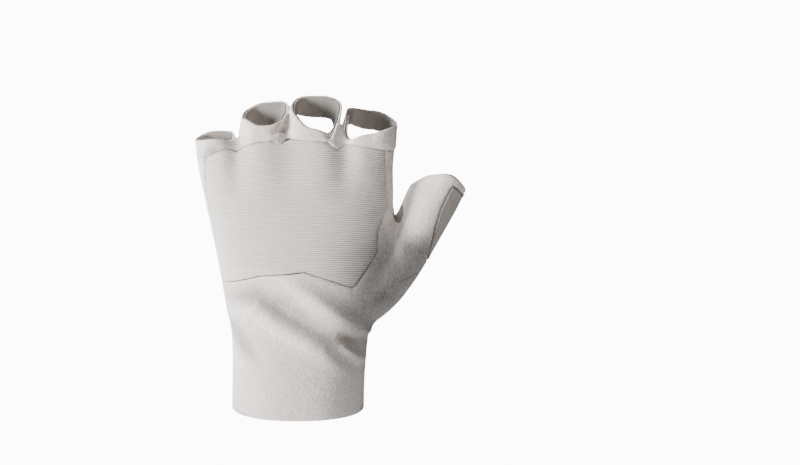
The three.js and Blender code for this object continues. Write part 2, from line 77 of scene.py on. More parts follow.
def area_light(name, place, size, watts):
    light_data = bpy.data.lights.new(name, "AREA")
    light_data.shape = "DISK"
    light_data.size = size
    light_data.energy = watts
    light = bpy.data.objects.new(name, light_data)
    light.location = place
    light.rotation_euler = (GLOVE_MIDDLE - Vector(place)).to_track_quat("-Z", "Y").to_euler()
    bpy.context.collection.objects.link(light)


def add_node(tree, kind, settings=None, **inputs):
    """A node with its settings, its input values and its links. An input is named, with two
    underscores for a space, or numbered after one underscore."""
    node = tree.nodes.new(kind)
    for name, value in (settings or {}).items():
        setattr(node, name, value)
    for name, value in inputs.items():
        key = int(name[1:]) if name[0] == "_" else name.replace("__", " ")
        if isinstance(value, bpy.types.NodeSocket):
            tree.links.new(value, node.inputs[key])
        else:
            node.inputs[key].default_value = value
    return node


area_light("key_light", (-1.25, -0.5, 0.35), 0.55, 60)
area_light("fill_light", (-0.1, -0.9, 1.1), 0.4, 5.5)
area_light("palm_light", (-0.75, 0.9, 0.7), 0.4, 16)

world = bpy.data.worlds.new("studio")
world.use_nodes = True
sky = world.node_tree
sky.nodes["Background"].inputs["Color"].default_value = (1, 1, 1, 1)
sky_seen = add_node(sky, "ShaderNodeLightPath").outputs["Is Camera Ray"]
sky_mix = add_node(sky, "ShaderNodeMapRange", None, Value=sky_seen, To__Min=SKY_LIGHT, To__Max=SKY_SEEN)
sky.links.new(sky_mix.outputs["Result"], sky.nodes["Background"].inputs["Strength"])
bpy.context.scene.world = world

floor_mesh = bpy.data.meshes.new("floor")
corner_signs = [(-1, -1), (1, -1), (1, 1), (-1, 1)]
corners = [(x * FLOOR_HALF, y * FLOOR_HALF, -FLOOR_DROP) for x, y in corner_signs]
floor_mesh.from_pydata(corners, [], [(0, 1, 2, 3)])
floor_paper = bpy.data.materials.new("backdrop_paper")
floor_paper.use_nodes = True
paper = floor_paper.node_tree
paper_shader = paper.nodes["Principled BSDF"]
paper_shader.inputs["Base Color"].default_value = (0.8, 0.8, 0.8, 1)
paper_shader.inputs["Roughness"].default_value = 0.9
paper_glow = add_node(paper, "ShaderNodeEmission", None, Strength=SKY_SEEN).outputs["Emission"]
paper_seen = add_node(paper, "ShaderNodeLightPath").outputs["Is Camera Ray"]
paper_mix = add_node(
    paper, "ShaderNodeMixShader", None, _0=paper_seen, _1=paper_shader.outputs["BSDF"], _2=paper_glow
)
paper.links.new(paper_mix.outputs["Shader"], paper.nodes["Material Output"].inputs["Surface"])
floor_mesh.materials.append(floor_paper)
floor = bpy.data.objects.new("floor", floor_mesh)
bpy.context.collection.objects.link(floor)


# The glove's form. It is cut from soft sheet and sewn, and is shown filled out as it is
# worn: a tube for the hand and one for the thumb, run together at the thumb's root. The
# back carries the soft folds of the cuff. All layers below follow this one form.


def blend_rows(values, t):
    """Catmull-Rom blend through the rows of a table, t running from 0 to 1."""
    values = np.asarray(values, float)
    spot = np.clip(np.asarray(t, float), 0, 1) * (len(values) - 1)
    i = np.minimum(spot.astype(int), len(values) - 2)
    f = spot - i
    a, b, c, d = (values[np.clip(i + k, 0, len(values) - 1)] for k in (-1, 0, 1, 2))
    return b + 0.5 * f * (c - a + f * (2 * a - 5 * b + 4 * c - d + f * (3 * (b - c) + d - a)))


def root(value, exponent):
    return np.sign(value) * np.abs(value) ** exponent


BACK_LENGTH, KNUCKLE_WIDTH, WRIST_DEPTH = 142, 100, 43
THUMB_WIDTH = 25
# up is a share of BACK_LENGTH, left and right of KNUCKLE_WIDTH, back and palm of
# WRIST_DEPTH; square is the superellipse exponent of the section
HAND_SECTIONS = [
    # up, left, right, back, palm, square
    (-0.14, -0.34, 0.332, 0.58, 0.42, 2.2),
    (-0.04, -0.337, 0.333, 0.58, 0.42, 2.2),
    (0.06, -0.334, 0.334, 0.575, 0.42, 2.2),
    (0.14, -0.331, 0.338, 0.56, 0.42, 2.2),
    (0.22, -0.33, 0.347, 0.535, 0.43, 2.2),
    (0.29, -0.338, 0.362, 0.505, 0.45, 2.2),
    (0.36, -0.357, 0.385, 0.47, 0.46, 2.25),
    (0.44, -0.376, 0.42, 0.43, 0.455, 2.3),
    (0.55, -0.403, 0.455, 0.395, 0.44, 2.35),
    (0.67, -0.436, 0.477, 0.37, 0.41, 2.4),
    (0.79, -0.47, 0.476, 0.35, 0.37, 2.6),
    (0.88, -0.494, 0.474, 0.33, 0.335, 2.8),
    (0.95, -0.503, 0.482, 0.315, 0.315, 3.0),
    (1.03, -0.506, 0.494, 0.31, 0.31, 3.0),
    (1.11, -0.508, 0.5, 0.31, 0.31, 3.0),
]
# x, y and z are the axis, as shares of KNUCKLE_WIDTH, WRIST_DEPTH and BACK_LENGTH; wide
# and deep are half sizes, as shares of THUMB_WIDTH
THUMB_SECTIONS = [
    # x, y, z, wide, deep
    (0.2, 0.1, 0.345, 0.42, 0.56),
    (0.3, 0.1, 0.375, 0.5, 0.64),
    (0.395, 0.11, 0.435, 0.53, 0.62),
    (0.48, 0.12, 0.51, 0.52, 0.57),
    (0.555, 0.13, 0.59, 0.495, 0.53),
    (0.614, 0.14, 0.67, 0.51, 0.5),
    (0.66, 0.14, 0.737, 0.53, 0.485),
    (0.71, 0.14, 0.805, 0.52, 0.48),
    (0.752, 0.14, 0.862, 0.5, 0.48),
    (0.79, 0.14, 0.925, 0.5, 0.48),
]
# the dips between the fingers: places as shares of KNUCKLE_WIDTH, half-width in
# millimetres, depth as a share of the back's, and start and end as shares of BACK_LENGTH
WEBS = (-0.295, -0.041, 0.232)
WEB_REACH, WEB_DEPTH, WEB_START, WEB_END = 4.5, 0.27, 0.74, 0.99


def smoothstep(value, low, high):
    t = np.clip((value - low) / (high - low), 0, 1)
    return t * t * (3 - 2 * t)


def web_valley(x, z):
    near = sum(np.exp(-(((x - web * KNUCKLE_WIDTH) / WEB_REACH) ** 2)) for web in WEBS)
    return WEB_DEPTH * smoothstep(z / BACK_LENGTH, WEB_START, WEB_END) * near


def hand_point(angle, t):
    """A point of the hand's tube, t running from the cuff to past the knuckles."""
    up, left, right, back, palm, square = (blend_rows(column, t) for column in zip(*HAND_SECTIONS))
    z = up * BACK_LENGTH
    x = (left + right + (right - left) * root(np.cos(angle), 2 / square)) / 2 * KNUCKLE_WIDTH
    out = root(np.sin(angle), 2 / square)
    depth = np.where(out > 0, palm, back * (1 - web_valley(x, z))) * WRIST_DEPTH
    return np.stack([x, out * depth, z + 0 * angle], -1)


def thumb_axis(t):
    x, y, z = (blend_rows(column, t) for column in list(zip(*THUMB_SECTIONS))[:3])
    return np.stack([x * KNUCKLE_WIDTH, y * WRIST_DEPTH, z * BACK_LENGTH], -1)


def thumb_point(angle, t):
    step = 0.02
    run = thumb_axis(np.minimum(t + step, 1)) - thumb_axis(np.maximum(t - step, 0))
    run[..., 1] = 0
    run /= np.linalg.norm(run, axis=-1, keepdims=True)
    across = np.stack([run[..., 2], 0 * run[..., 1], -run[..., 0]], -1)
    wide, deep = (blend_rows(column, t) * THUMB_WIDTH for column in list(zip(*THUMB_SECTIONS))[3:])
    point = thumb_axis(t) + across * (wide * np.cos(angle))[..., None]
    point[..., 1] += deep * np.sin(angle)
    return point


def tube_mesh(point_at, rows, around):
    """A closed tube through rows of points, with a fan on each end."""
    t = np.repeat(np.linspace(0, 1, rows), around)
    angle = np.tile(np.arange(around) / around * 2 * np.pi, rows)
    points = point_at(angle, t)
    ring = np.arange(around)
    after = (ring + 1) % around
    starts = np.arange(rows - 1)[:, None] * around
    quads = np.stack([starts + ring, starts + after, starts + around + after, starts + around + ring], -1)
    ends = [points[:around].mean(0), points[-around:].mean(0)]
    top = (rows - 1) * around
    fans = [(len(points), j, i) for i, j in zip(ring, after)]
    fans += [(len(points) + 1, top + i, top + j) for i, j in zip(ring, after)]
    return np.vstack([points, ends]), quads.reshape(-1, 4).tolist() + fans


def new_mesh(name, points, faces):
    """A mesh from points in millimetres."""
    mesh = bpy.data.meshes.new(name)
    faces = faces if isinstance(faces, list) else faces.tolist()
    mesh.from_pydata((np.asarray(points) * MM).tolist(), [], faces)
    mesh.validate()
    return mesh


def triangles_of(mesh):
    mesh.calc_loop_triangles()
    faces = np.zeros(len(mesh.loop_triangles) * 3, np.int64)
    mesh.loop_triangles.foreach_get("vertices", faces)
    points = np.zeros(len(mesh.vertices) * 3)
    mesh.vertices.foreach_get("co", points)
    return points.reshape(-1, 3) / MM, faces.reshape(-1, 3)


def fused(shells, voxel):
    """Closed shells run into one by a voxel remesh; points and triangles come back."""
    points, faces, base = [], [], 0
    for shell_points, shell_faces in shells:
        points.append(shell_points)
        faces += [[i + base for i in face] for face in shell_faces]
        base += len(shell_points)
    rough = bpy.data.objects.new("rough", new_mesh("rough", np.vstack(points), faces))
    bpy.context.collection.objects.link(rough)
    remesh = rough.modifiers.new("remesh", "REMESH")
    remesh.mode = "VOXEL"
    remesh.voxel_size = voxel * MM
    whole = bpy.data.meshes.new_from_object(rough.evaluated_get(bpy.context.evaluated_depsgraph_get()))
    result = triangles_of(whole)
    bpy.data.objects.remove(rough)
    bpy.data.meshes.remove(whole)
    return result


def eased(points, faces, passes, strength):
    """Points drawn towards their neighbours' mean, by a strength for each point."""
    pairs = np.vstack([faces[:, [0, 1]], faces[:, [1, 2]], faces[:, [2, 0]]])
    pairs = np.unique(np.sort(pairs, 1), axis=0)
    count = np.bincount(pairs.ravel(), minlength=len(points))[:, None]
    for _ in range(passes):
        total = np.zeros_like(points)
        for axis in range(3):
            total[:, axis] += np.bincount(pairs[:, 0], points[pairs[:, 1], axis], len(points))
            total[:, axis] += np.bincount(pairs[:, 1], points[pairs[:, 0], axis], len(points))
        points = points + (total / count - points) * strength
    return points


def point_normals(points, faces):
    a, b, c = (points[faces[:, k]] for k in range(3))
    face_normals = np.cross(b - a, c - a)
    normals = np.zeros_like(points)
    for k in range(3):
        for axis in range(3):
            normals[:, axis] += np.bincount(faces[:, k], face_normals[:, axis], len(points))
    return normals / np.maximum(np.linalg.norm(normals, axis=1, keepdims=True), 1e-12)


# Ridges (+) and valleys (-) of the soft leather on the back, in millimetres across (x)
# and up (z) from the wrist's middle; reach is the half-width and rise the height, of
# which FOLD_ENDS is left at a fold's ends
FOLD_ENDS = 0.15
FOLDS = [
    # reach, rise, line of (x, z)
    (4.7, 3.2, [(-8, 72.4), (8.5, 61.5), (21, 52.5), (36, 42.6)]),
    (5.2, -3.0, [(-36, 58.2), (-19, 62), (-4, 52.5), (15, 43.4), (24, 39.8)]),
    (5.6, 2.8, [(-36, 54), (-20, 55), (-5, 47.3), (11, 38.2), (30, 22.7)]),
    (3.9, -2.0, [(-34, 46.9), (-28, 38.3), (-20, 31.2)]),
    (3.4, -2.2, [(20, 42.6), (36, 36.2)]),
    (3.0, -0.7, [(38, 56.9), (48, 61.1)]),
    (2.2, -2.6, [(22, 42.6), (34, 31)]),
    (2.4, 2.2, [(22, 38.5), (34, 26.5)]),
    (3.2, -1.6, [(14, 38), (33, 21.5)]),
    (3.0, 1.6, [(30, 44.5), (37, 41)]),
    (3.4, 0.9, [(-33, 40), (-31, 30), (-24, 22)]),
]


def fold_rise(points):
    """Height of the folds over the form; each is lower at both ends."""
    rise = np.zeros(len(points))
    flat = points[:, [0, 2]]
    for reach, height, line in FOLDS:
        line = np.array(line, float)
        away, along = np.full(len(points), np.inf), np.zeros(len(points))
        for i in range(len(line) - 1):
            run = line[i + 1] - line[i]
            share = np.clip((flat - line[i]) @ run / (run @ run), 0, 1)
            distance = np.linalg.norm(flat - line[i] - share[:, None] * run, axis=1)
            nearer = distance < away
            away = np.where(nearer, distance, away)
            along = np.where(nearer, (i + share) / (len(line) - 1), along)
        fade = FOLD_ENDS + (1 - FOLD_ENDS) * np.sin(np.pi * along) ** 0.8
        rise += height * np.exp(-((away / reach) ** 2)) * fade
    return rise


FORM_VOXEL = 0.85
hand_tube = tube_mesh(hand_point, rows=200, around=260)
thumb_tube = tube_mesh(thumb_point, rows=110, around=120)
form_points, form_faces = fused([hand_tube, thumb_tube], FORM_VOXEL)


def distance_to(shell, points):
    tree = BVHTree.FromPolygons(shell[0].tolist(), shell[1])
    return np.array([tree.find_nearest(Vector(p))[3] for p in points])


# The crease where the thumb's tube leaves the hand's is eased into a web of leather
THUMB_ROOT, THUMB_ROOT_REACH, CREASE_REACH = (46.0, 4.0, 76.0), 48, 6.0
near_thumb = np.linalg.norm(form_points - THUMB_ROOT, axis=1) < THUMB_ROOT_REACH
from_crease = np.full(len(form_points), np.inf)
from_crease[near_thumb] = np.maximum(
    distance_to(hand_tube, form_points[near_thumb]), distance_to(thumb_tube, form_points[near_thumb])
)
form_points = eased(form_points, form_faces, passes=6, strength=0.5)
at_crease = 0.6 * np.exp(-((from_crease / CREASE_REACH) ** 2))[:, None]
form_points = eased(form_points, form_faces, passes=45, strength=at_crease)
form_normals = point_normals(form_points, form_faces)
on_back = smoothstep(-form_normals[:, 1], -0.1, 0.5)
form_points = form_points + form_normals * (fold_rise(form_points) * on_back)[:, None]
form_normals = point_normals(form_points, form_faces)
form_tree = BVHTree.FromPolygons(form_points.tolist(), form_faces.tolist())


# Cutting out the pieces. Apart from the finger loops and the threads, a piece is the
# form's surface inside an outline, given as a field that is positive inside and measures
# the way to the edge, and is then thickened.


def line_distance(flat, line, closed=False):
    line = np.asarray(line, float)
    ends = np.roll(line, -1, 0) if closed else line[1:]
    starts = line if closed else line[:-1]
    best = np.full(len(flat), 1e9)
    for start, end in zip(starts, ends):
        run = end - start
        along = np.clip((flat - start) @ run / max(run @ run, 1e-12), 0, 1)
        best = np.minimum(best, np.linalg.norm(flat - start - along[:, None] * run, axis=1))
    return best


def inside_outline(flat, outline):
    """Distance to a closed outline, positive inside."""
    outline = np.asarray(outline, float)
    x, z = flat[:, 0], flat[:, 1]
    odd = np.zeros(len(flat), bool)
    for (x0, z0), (x1, z1) in zip(outline, np.roll(outline, -1, 0)):
        crosses = (z0 > z) != (z1 > z)
        odd ^= crosses & (x < (x1 - x0) * (z - z0) / (z1 - z0 if z1 != z0 else 1e-12) + x0)
    return np.where(odd, 1, -1) * line_distance(flat, outline, True)


# a point closer than this to the zero line counts as on it, so no sliver is cut off
SNAP = 0.06


def clipped(points, faces, normals, field):
    """The part of a surface where the field is positive, cut cleanly along its zero line."""
    field = np.where(np.abs(field) < SNAP, 0.0, field)
    keep = field >= 0
    corners = keep[faces].sum(1)
    whole = faces[corners == 3]
    cut_edges, new_faces = {}, []
    extra_points, extra_normals = [], []

    def crossing(i, j):
        key = (i, j) if i < j else (j, i)
        if key not in cut_edges:
            share = field[key[0]] / (field[key[0]] - field[key[1]])
            cut_edges[key] = len(points) + len(extra_points)
            extra_points.append(points[key[0]] + share * (points[key[1]] - points[key[0]]))
            extra_normals.append(normals[key[0]] + share * (normals[key[1]] - normals[key[0]]))
        return cut_edges[key]

    for face in faces[(corners > 0) & (corners < 3)].tolist():
        ring = []
        for i, j in zip(face, face[1:] + face[:1]):
            if keep[i]:
                ring.append(i)
            if keep[i] != keep[j] and field[i] != 0 and field[j] != 0:
                ring.append(crossing(i, j))
        new_faces += [(ring[0], ring[k], ring[k + 1]) for k in range(1, len(ring) - 1)]
    if extra_points:
        points = np.vstack([points, extra_points])
        normals = np.vstack([normals, extra_normals])
        field = np.concatenate([field, np.zeros(len(extra_points))])
    faces = np.vstack([whole, np.array(new_faces, int).reshape(-1, 3)])
    used, faces = np.unique(faces, return_inverse=True)
    faces = faces.reshape(-1, 3)
    normals = normals[used] / np.linalg.norm(normals[used], axis=1, keepdims=True)
    return points[used], faces, normals, np.maximum(field[used], 0)


def cut_from_form(field):
    return clipped(form_points, form_faces, form_normals, field)


# how deep a rounded edge rolls down, as a share of its width, and how much of a quarter
# turn it makes
ROLL_DEPTH, ROLL_TURN = 0.8, 0.96


def thickened(points, faces, normals, edge, outside, wall, round_edge, relief=0.0, seen_inside=False):
    """A closed sheet. outside is its outer face's height over the form and edge the way
    to its border, over which the seen face rolls down by round_edge."""
    roll = np.clip(1 - edge / max(round_edge, 1e-6), 0, 1)
    drop = round_edge * ROLL_DEPTH * (1 - np.sqrt(1 - roll**2 * ROLL_TURN)) - relief
    top = outside - (0 if seen_inside else drop) + np.zeros(len(points))
    low = outside - wall + (drop if seen_inside else 0) + np.zeros(len(points))
    outer = points + normals * top[:, None]
    inner = points + normals * low[:, None]
    count = len(points)
    directed = np.vstack([faces[:, [0, 1]], faces[:, [1, 2]], faces[:, [2, 0]]])
    keys = directed[:, 0] * count + directed[:, 1]
    border = directed[~np.isin(directed[:, 1] * count + directed[:, 0], keys)]
    sides = np.stack([border[:, 1], border[:, 0], border[:, 0] + count, border[:, 1] + count], 1)
    return np.vstack([outer, inner]), faces.tolist() + (faces[:, ::-1] + count).tolist() + sides.tolist()


def linear(hex_colour):
    """An sRGB hex colour as linear RGBA."""
    channels = [int(hex_colour[i:i + 2], 16) / 255 for i in (1, 3, 5)]
    return [c / 12.92 if c <= 0.04045 else ((c + 0.055) / 1.055) ** 2.4 for c in channels] + [1.0]


# the nap's share in the tone, the rest being the mottle's, and the noise values that give
# the dark tone and the light one
NAP_SHARE, DARK_AT, LIGHT_AT = 0.8, 0.35, 0.65


def cloth_material(name, dark, light, roughness, sheen, fuzz_mm, fuzz_height, mottle_mm=9.0):
    """Brushed cloth: a fine raised nap and a soft mottle between two tones."""
    material = bpy.data.materials.new(name)
    material.use_nodes = True
    tree = material.node_tree
    shader = tree.nodes["Principled BSDF"]
    shader.inputs["Roughness"].default_value = roughness
    shader.inputs["Sheen Weight"].default_value = sheen
    shader.inputs["Sheen Roughness"].default_value = 0.55
    shader.inputs["Specular IOR Level"].default_value = 0.25
    place = add_node(tree, "ShaderNodeTexCoord").outputs["Object"]
    mottle = add_node(tree, "ShaderNodeTexNoise", None, Vector=place, Scale=1 / (mottle_mm * MM), Detail=5.0)
    nap = add_node(
        tree, "ShaderNodeTexNoise", None, Vector=place, Scale=1 / (fuzz_mm * MM), Detail=3.0, Roughness=0.7
    ).outputs["Fac"]
    both = add_node(
        tree, "ShaderNodeMix", {"data_type": "FLOAT"}, _0=NAP_SHARE, _2=mottle.outputs["Fac"], _3=nap
    ).outputs[0]
    tone = add_node(
        tree, "ShaderNodeMapRange", None, Value=both, From__Min=DARK_AT, From__Max=LIGHT_AT
    ).outputs["Result"]
    # a Mix node's colours are its inputs 6 and 7 and its output 2
    tones = {"_6": linear(dark), "_7": linear(light)}
    colour = add_node(tree, "ShaderNodeMix", {"data_type": "RGBA"}, _0=tone, **tones)
    tree.links.new(colour.outputs[2], shader.inputs["Base Color"])
    bump = add_node(tree, "ShaderNodeBump", None, Height=nap, Distance=fuzz_height * MM, Strength=1.0)
    tree.links.new(bump.outputs["Normal"], shader.inputs["Normal"])
    return material


def paint_shade_by_dark(material):
    """Paints shade into a material: takes away its colour by its mesh's attribute dark, from 0 to 1."""
    tree = material.node_tree
    base = tree.nodes["Principled BSDF"].inputs["Base Color"]
    dark = add_node(tree, "ShaderNodeAttribute", {"attribute_name": "dark"}).outputs["Fac"]
    left = add_node(tree, "ShaderNodeMapRange", None, Value=dark, To__Min=1.0, To__Max=0.0).outputs[0]
    grey = add_node(tree, "ShaderNodeCombineColor", None, _0=left, _1=left, _2=left).outputs[0]
    multiply = {"data_type": "RGBA", "blend_type": "MULTIPLY"}
    shaded = add_node(tree, "ShaderNodeMix", multiply, _0=1.0, _6=base.links[0].from_socket, _7=grey)
    tree.links.new(shaded.outputs[2], base)


SHARP_ANGLE = math.radians(40)


def add_piece(name, points, faces, material, slot, *replaced, dark=None):
    """A smooth-shaded piece that rides on the glove's one body. dark is painted shade; where it
    is shorter than points, the last points, which are a sheet's hidden face, have none."""
    mesh = new_mesh(name, points, faces)
    if dark is not None:
        values = np.zeros(len(mesh.vertices))
        values[:len(dark)] = dark
        mesh.attributes.new("dark", "FLOAT", "POINT").data.foreach_set("value", values)
    mesh.shade_smooth()
    mesh.set_sharp_from_angle(angle=SHARP_ANGLE)
    mesh.materials.append(material)
    piece = bpy.data.objects.new(name, mesh)
    bpy.context.collection.objects.link(piece)
    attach(piece, "root")
    if replaced:
        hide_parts(*replaced)


# Leather back: white microsuede of polyester microfibre, brushed to a short nap, cut in
# one piece with the cuff, the heel flap and the back of the thumb. It is matte and
# scatters light evenly, with a faint sheen where it turns away.
SHELL_WALL, GAP, SLIT = 1.4, 0.3, 0.5
CUFF_EDGE_Y, BINDING_WIDTH, RIM_SLANT = 3.0, 2.0, 0.3
THUMB_FROM_X, BAND_FROM_X = 50.3, 44
KNUCKLE_SEAM = [
    (-70, 129.9), (-50, 130.4), (-46, 131.4), (-40, 135), (-34.5, 137.2), (-29.5, 134.8), (-26.5, 137.9),
    (-21, 139.9), (-12, 141.3), (-8.3, 138.5), (-5, 141.7), (4, 141.1), (15, 140.3), (19.7, 136.3),
    (23.5, 138.6), (29, 138.5), (36, 137.3), (43, 135.2), (50, 134.2), (70, 133.5),
]
RIBBED_SIDES = [
    (43.7, 120.7), (44.8, 107.5), (40, 94.7), (39.5, 82.9), (28, 66.5), (3.5, 75), (-19, 72.6),
    (-37.2, 67), (-40.5, 86.1), (-43.5, 100.3), (-45.5, 115),
]
HEEL_EDGE = [(-47, 98), (-41, 85.2), (-33, 71.7), (-25.2, 63.9), (-12, 55.7), (6.7, 45.7), (17, 38.1)]
FLAP_EDGE = [(20, 28.4), (19, 15.6), (10.5, 8.8), (-1, 4), (-10, 1.7), (-16, -8.5)]
BAND_FOOT_INNER, BAND_FOOT_OUTER = (49, 95.9), (70, 75.3)
THUMB_RIM = [(51, 113.6), (60, 118.7), (66, 120.7), (76, 120), (82.5, 115.3), (90, 105.1)]


def smooth_line(rows, steps):
    t = np.linspace(0, 1, steps)
    return np.stack([blend_rows(column, t) for column in zip(*rows)], 1)


seam_line = np.array(KNUCKLE_SEAM, float)
heel_line = smooth_line(HEEL_EDGE, 60)
flap_line = smooth_line(FLAP_EDGE, 40)
rim_line = smooth_line(THUMB_RIM, 40)
ribbed_outline = np.array([row for row in KNUCKLE_SEAM if -46 <= row[0] <= 43] + RIBBED_SIDES, float)
# how far an outline runs past the glove, and a field's values well inside and outside
FAR, INSIDE, OUTSIDE = 400, 9.0, -9.0
palm_outline = np.vstack([
    heel_line, flap_line, [(FAR, FLAP_EDGE[-1][1]), (FAR, BAND_FOOT_OUTER[1]), BAND_FOOT_OUTER],
    [BAND_FOOT_INNER, (50.5, FAR), (-FAR, FAR), (-FAR, HEEL_EDGE[0][1])],
])
knuckle_outline = np.vstack([seam_line, [(seam_line[-1, 0], -FAR), (seam_line[0, 0], -FAR)]])
past_thumb_outline = np.vstack([rim_line, [(FAR, FAR), (THUMB_RIM[0][0], FAR)]])


def knuckle_field(points):
    """Positive below the knuckle seam, or anywhere on the thumb."""
    flat = points[:, [0, 2]]
    return np.where(points[:, 0] > THUMB_FROM_X, INSIDE, inside_outline(flat, knuckle_outline))


def trimmed_field(points):
    """Positive between the cuff's edge and the knuckle seam or the thumb's rim."""
    field = np.minimum(points[:, 2], knuckle_field(points))
    at_rim = np.stack([points[:, 0], points[:, 2] + RIM_SLANT * points[:, 1]], 1)
    return np.minimum(field, -inside_outline(at_rim, past_thumb_outline))


def palm_field(points, let_in):
    """Positive outside the open palm; let_in moves the leather's edge into the leather."""
    inside = inside_outline(points[:, [0, 2]], palm_outline)
    return np.maximum(CUFF_EDGE_Y - points[:, 1], -inside - let_in)


# The pad band's two edges, each (across, deep) from the thumb's axis as shares of
# THUMB_WIDTH: on the palm side, and on the back at the foot and at the rim. Its foot and
# top are shares of the axis; its binding at the rim is wider on the back, where its edge
# also bows out. Widths are in millimetres.
BAND_PALM, BAND_BACK_FOOT, BAND_BACK_RIM = (
    np.array(row) for row in ((-0.26, 0.45), (0.44, -0.2), (0.27, -0.36))
)
BAND_START, BAND_END, BAND_PAST_RIM = 3.84 / 9, 8 / 9, 8.0
RIM_BINDING, RIM_BINDING_BACK, BAND_BULGE, BAND_BULGE_AT = 2.6, 2.5, 5.5, 0.52
band_low, band_high = thumb_axis(np.array(BAND_START)), thumb_axis(np.array(BAND_END))
band_length = np.linalg.norm(band_high - band_low) + BAND_PAST_RIM
band_run = (band_high - band_low) / np.linalg.norm(band_high - band_low)
band_across = np.array([band_run[2], 0, -band_run[0]])


def band_field(points):
    """Positive on the pad band's share of the thumb: outward and palmward, below the rim."""
    from_low = points - band_low
    across, deep = from_low @ band_across / THUMB_WIDTH, from_low[:, 1] / THUMB_WIDTH
    up = np.clip(from_low @ band_run / band_length, 0, 1)[:, None]
    run = BAND_BACK_FOOT + (BAND_BACK_RIM - BAND_BACK_FOOT) * up - BAND_PALM
    run /= np.linalg.norm(run, axis=1, keepdims=True)
    side = ((across - BAND_PALM[0]) * -run[:, 1] + (deep - BAND_PALM[1]) * run[:, 0]) * THUMB_WIDTH
    binding = RIM_BINDING + RIM_BINDING_BACK * smoothstep(deep, 0.1, -0.25)
    at_rim = np.stack([points[:, 0], points[:, 2] + RIM_SLANT * points[:, 1] + binding], 1)
    bulge = np.clip(1 - ((up[:, 0] - BAND_BULGE_AT) / BAND_BULGE_AT) ** 2, 0, 1)
    side += BAND_BULGE * bulge * smoothstep(deep, 0.2, -0.1)
    field = np.minimum.reduce([side, from_low @ band_run, -inside_outline(at_rim, past_thumb_outline)])
    return np.where(points[:, 0] > BAND_FROM_X, field, OUTSIDE)


def ribbed_field(points):
    """Positive on the ribbed panel, on the back's side of the form."""
    return np.minimum(inside_outline(points[:, [0, 2]], ribbed_outline), -points[:, 1])


def heel_region_field(points):
    """Positive on the narrow strip of the heel flap's bound edge."""
    beside = -line_distance(points[:, [0, 2]], heel_line) + BINDING_WIDTH + GAP
    return np.where(points[:, 1] > CUFF_EDGE_Y, beside, OUTSIDE)


# The two shares below are painted shade, which darkens the suede as the photograph shows it. Their places
# are millimetres across (x) and up (z), and both fade out round the glove's sides.
def painted_thumb_shade(points):
    """Painted shade beside the thumb, at its foot and along the ridge under it."""
    x, z = points[:, 0], points[:, 2]
    beside = smoothstep(x, 0, 42) * (0.2 + 0.42 * smoothstep(z, 106, 76) * smoothstep(z, 15, 45))
    below = 0.62 * smoothstep(x, 44, 54) * smoothstep(z + 0.35 * (x - 56), 100, 85)
    thumb_share = smoothstep(x + 0.5 * (z - 90), 43, 51)
    from_ridge = 0.894 * (x - 54.5) - 0.447 * (z - 86)
    ridge = 0.2 * np.exp(-((from_ridge / 5.5) ** 2)) * smoothstep(z, 94, 84) * smoothstep(z, 50, 62)
    return (beside * (1 - thumb_share) + below * thumb_share + ridge) * smoothstep(points[:, 1], 8, -2)


def painted_fold_shade(points):
    """Painted shade in the valleys of the folds, deeper on the left."""
    depth = np.clip(0.4 - fold_rise(points) / 2.2, 0, 1) * smoothstep(points[:, 2], 74, 60)
    return depth * (0.15 + 0.33 * smoothstep(points[:, 0], 20, -12)) * smoothstep(points[:, 1], 4, -2)


white_suede = cloth_material(
    "microsuede_brushed", "#D3C9C2", "#FAF1EB",
    roughness=0.9, sheen=0.2, fuzz_mm=1.2, fuzz_height=0.5,
)
paint_shade_by_dark(white_suede)
shell_field = np.minimum.reduce([
    trimmed_field(form_points),
    palm_field(form_points, 0.0),
    -heel_region_field(form_points),
    -ribbed_field(form_points) - SLIT / 2,
    -band_field(form_points) - GAP / 2,
])
sheet = cut_from_form(shell_field)
# The back's suede carries painted shade beside and below the thumb and in the folds' valleys.
add_piece(
    "back_shell_suede", *thickened(*sheet, 0.0, SHELL_WALL, round_edge=0.9),
    white_suede, "white_suede", "back_shell",
    dark=np.maximum(painted_thumb_shade(sheet[0]), painted_fold_shade(sheet[0])),
)

# Ribbed grip panel: a dense knitted polyester with fine cross ribs under a thin matte
# polyurethane film, let into the back edge to edge. The ribs catch light on their crowns,
# and the panel carries painted shade in the grooves, along its border and by the thumb.
RIB_PITCH, RIB_HEIGHT, RIB_STEPS, RIB_FULLNESS = 1.1, 0.3, 6, 2.5
RIBS_FROM, RIBS_TO = 62, 148
PANEL_PROUD, PANEL_WALL = 0.3, 1.5

rib_rows = np.arange(RIBS_FROM, RIBS_TO, RIB_PITCH / RIB_STEPS)
rib_angles = np.radians(np.concatenate([
    np.linspace(-178, -150, 16), np.linspace(-148, -32, 56), np.linspace(-30, -2, 16),
]))
dense_t = np.linspace(0, 1, 400)
dense_z = blend_rows(list(zip(*HAND_SECTIONS))[0], dense_t) * BACK_LENGTH
rib_line, rib_angle = (grid.ravel() for grid in np.meshgrid(rib_rows, rib_angles, indexing="ij"))
# a rib arches down towards both sides, the upper ribs more, which takes a few rounds to find
rib_arch = 0.0012 + 0.0016 * smoothstep(rib_line, 70, 140)
rib_z = rib_line.copy()
for _ in range(4):
    rib_points = hand_point(rib_angle, np.interp(rib_z, dense_z, dense_t))
    rib_z = rib_line - rib_arch * rib_points[:, 0] ** 2
rib_points = hand_point(rib_angle, np.interp(rib_z, dense_z, dense_t))
rib_points = np.array([form_tree.find_nearest(Vector(p))[0] for p in rib_points])
columns = len(rib_angles)
starts = (np.arange(len(rib_rows) - 1)[:, None] * columns + np.arange(columns - 1)).ravel()
rib_faces = np.vstack([
    np.stack([starts, starts + 1, starts + columns + 1], 1),
    np.stack([starts, starts + columns + 1, starts + columns], 1),
])
rib_points = eased(rib_points, rib_faces, passes=6, strength=0.5)
rib_normals = point_normals(rib_points, rib_faces)
rib_field = np.minimum(ribbed_field(rib_points), knuckle_field(rib_points)) - SLIT / 2
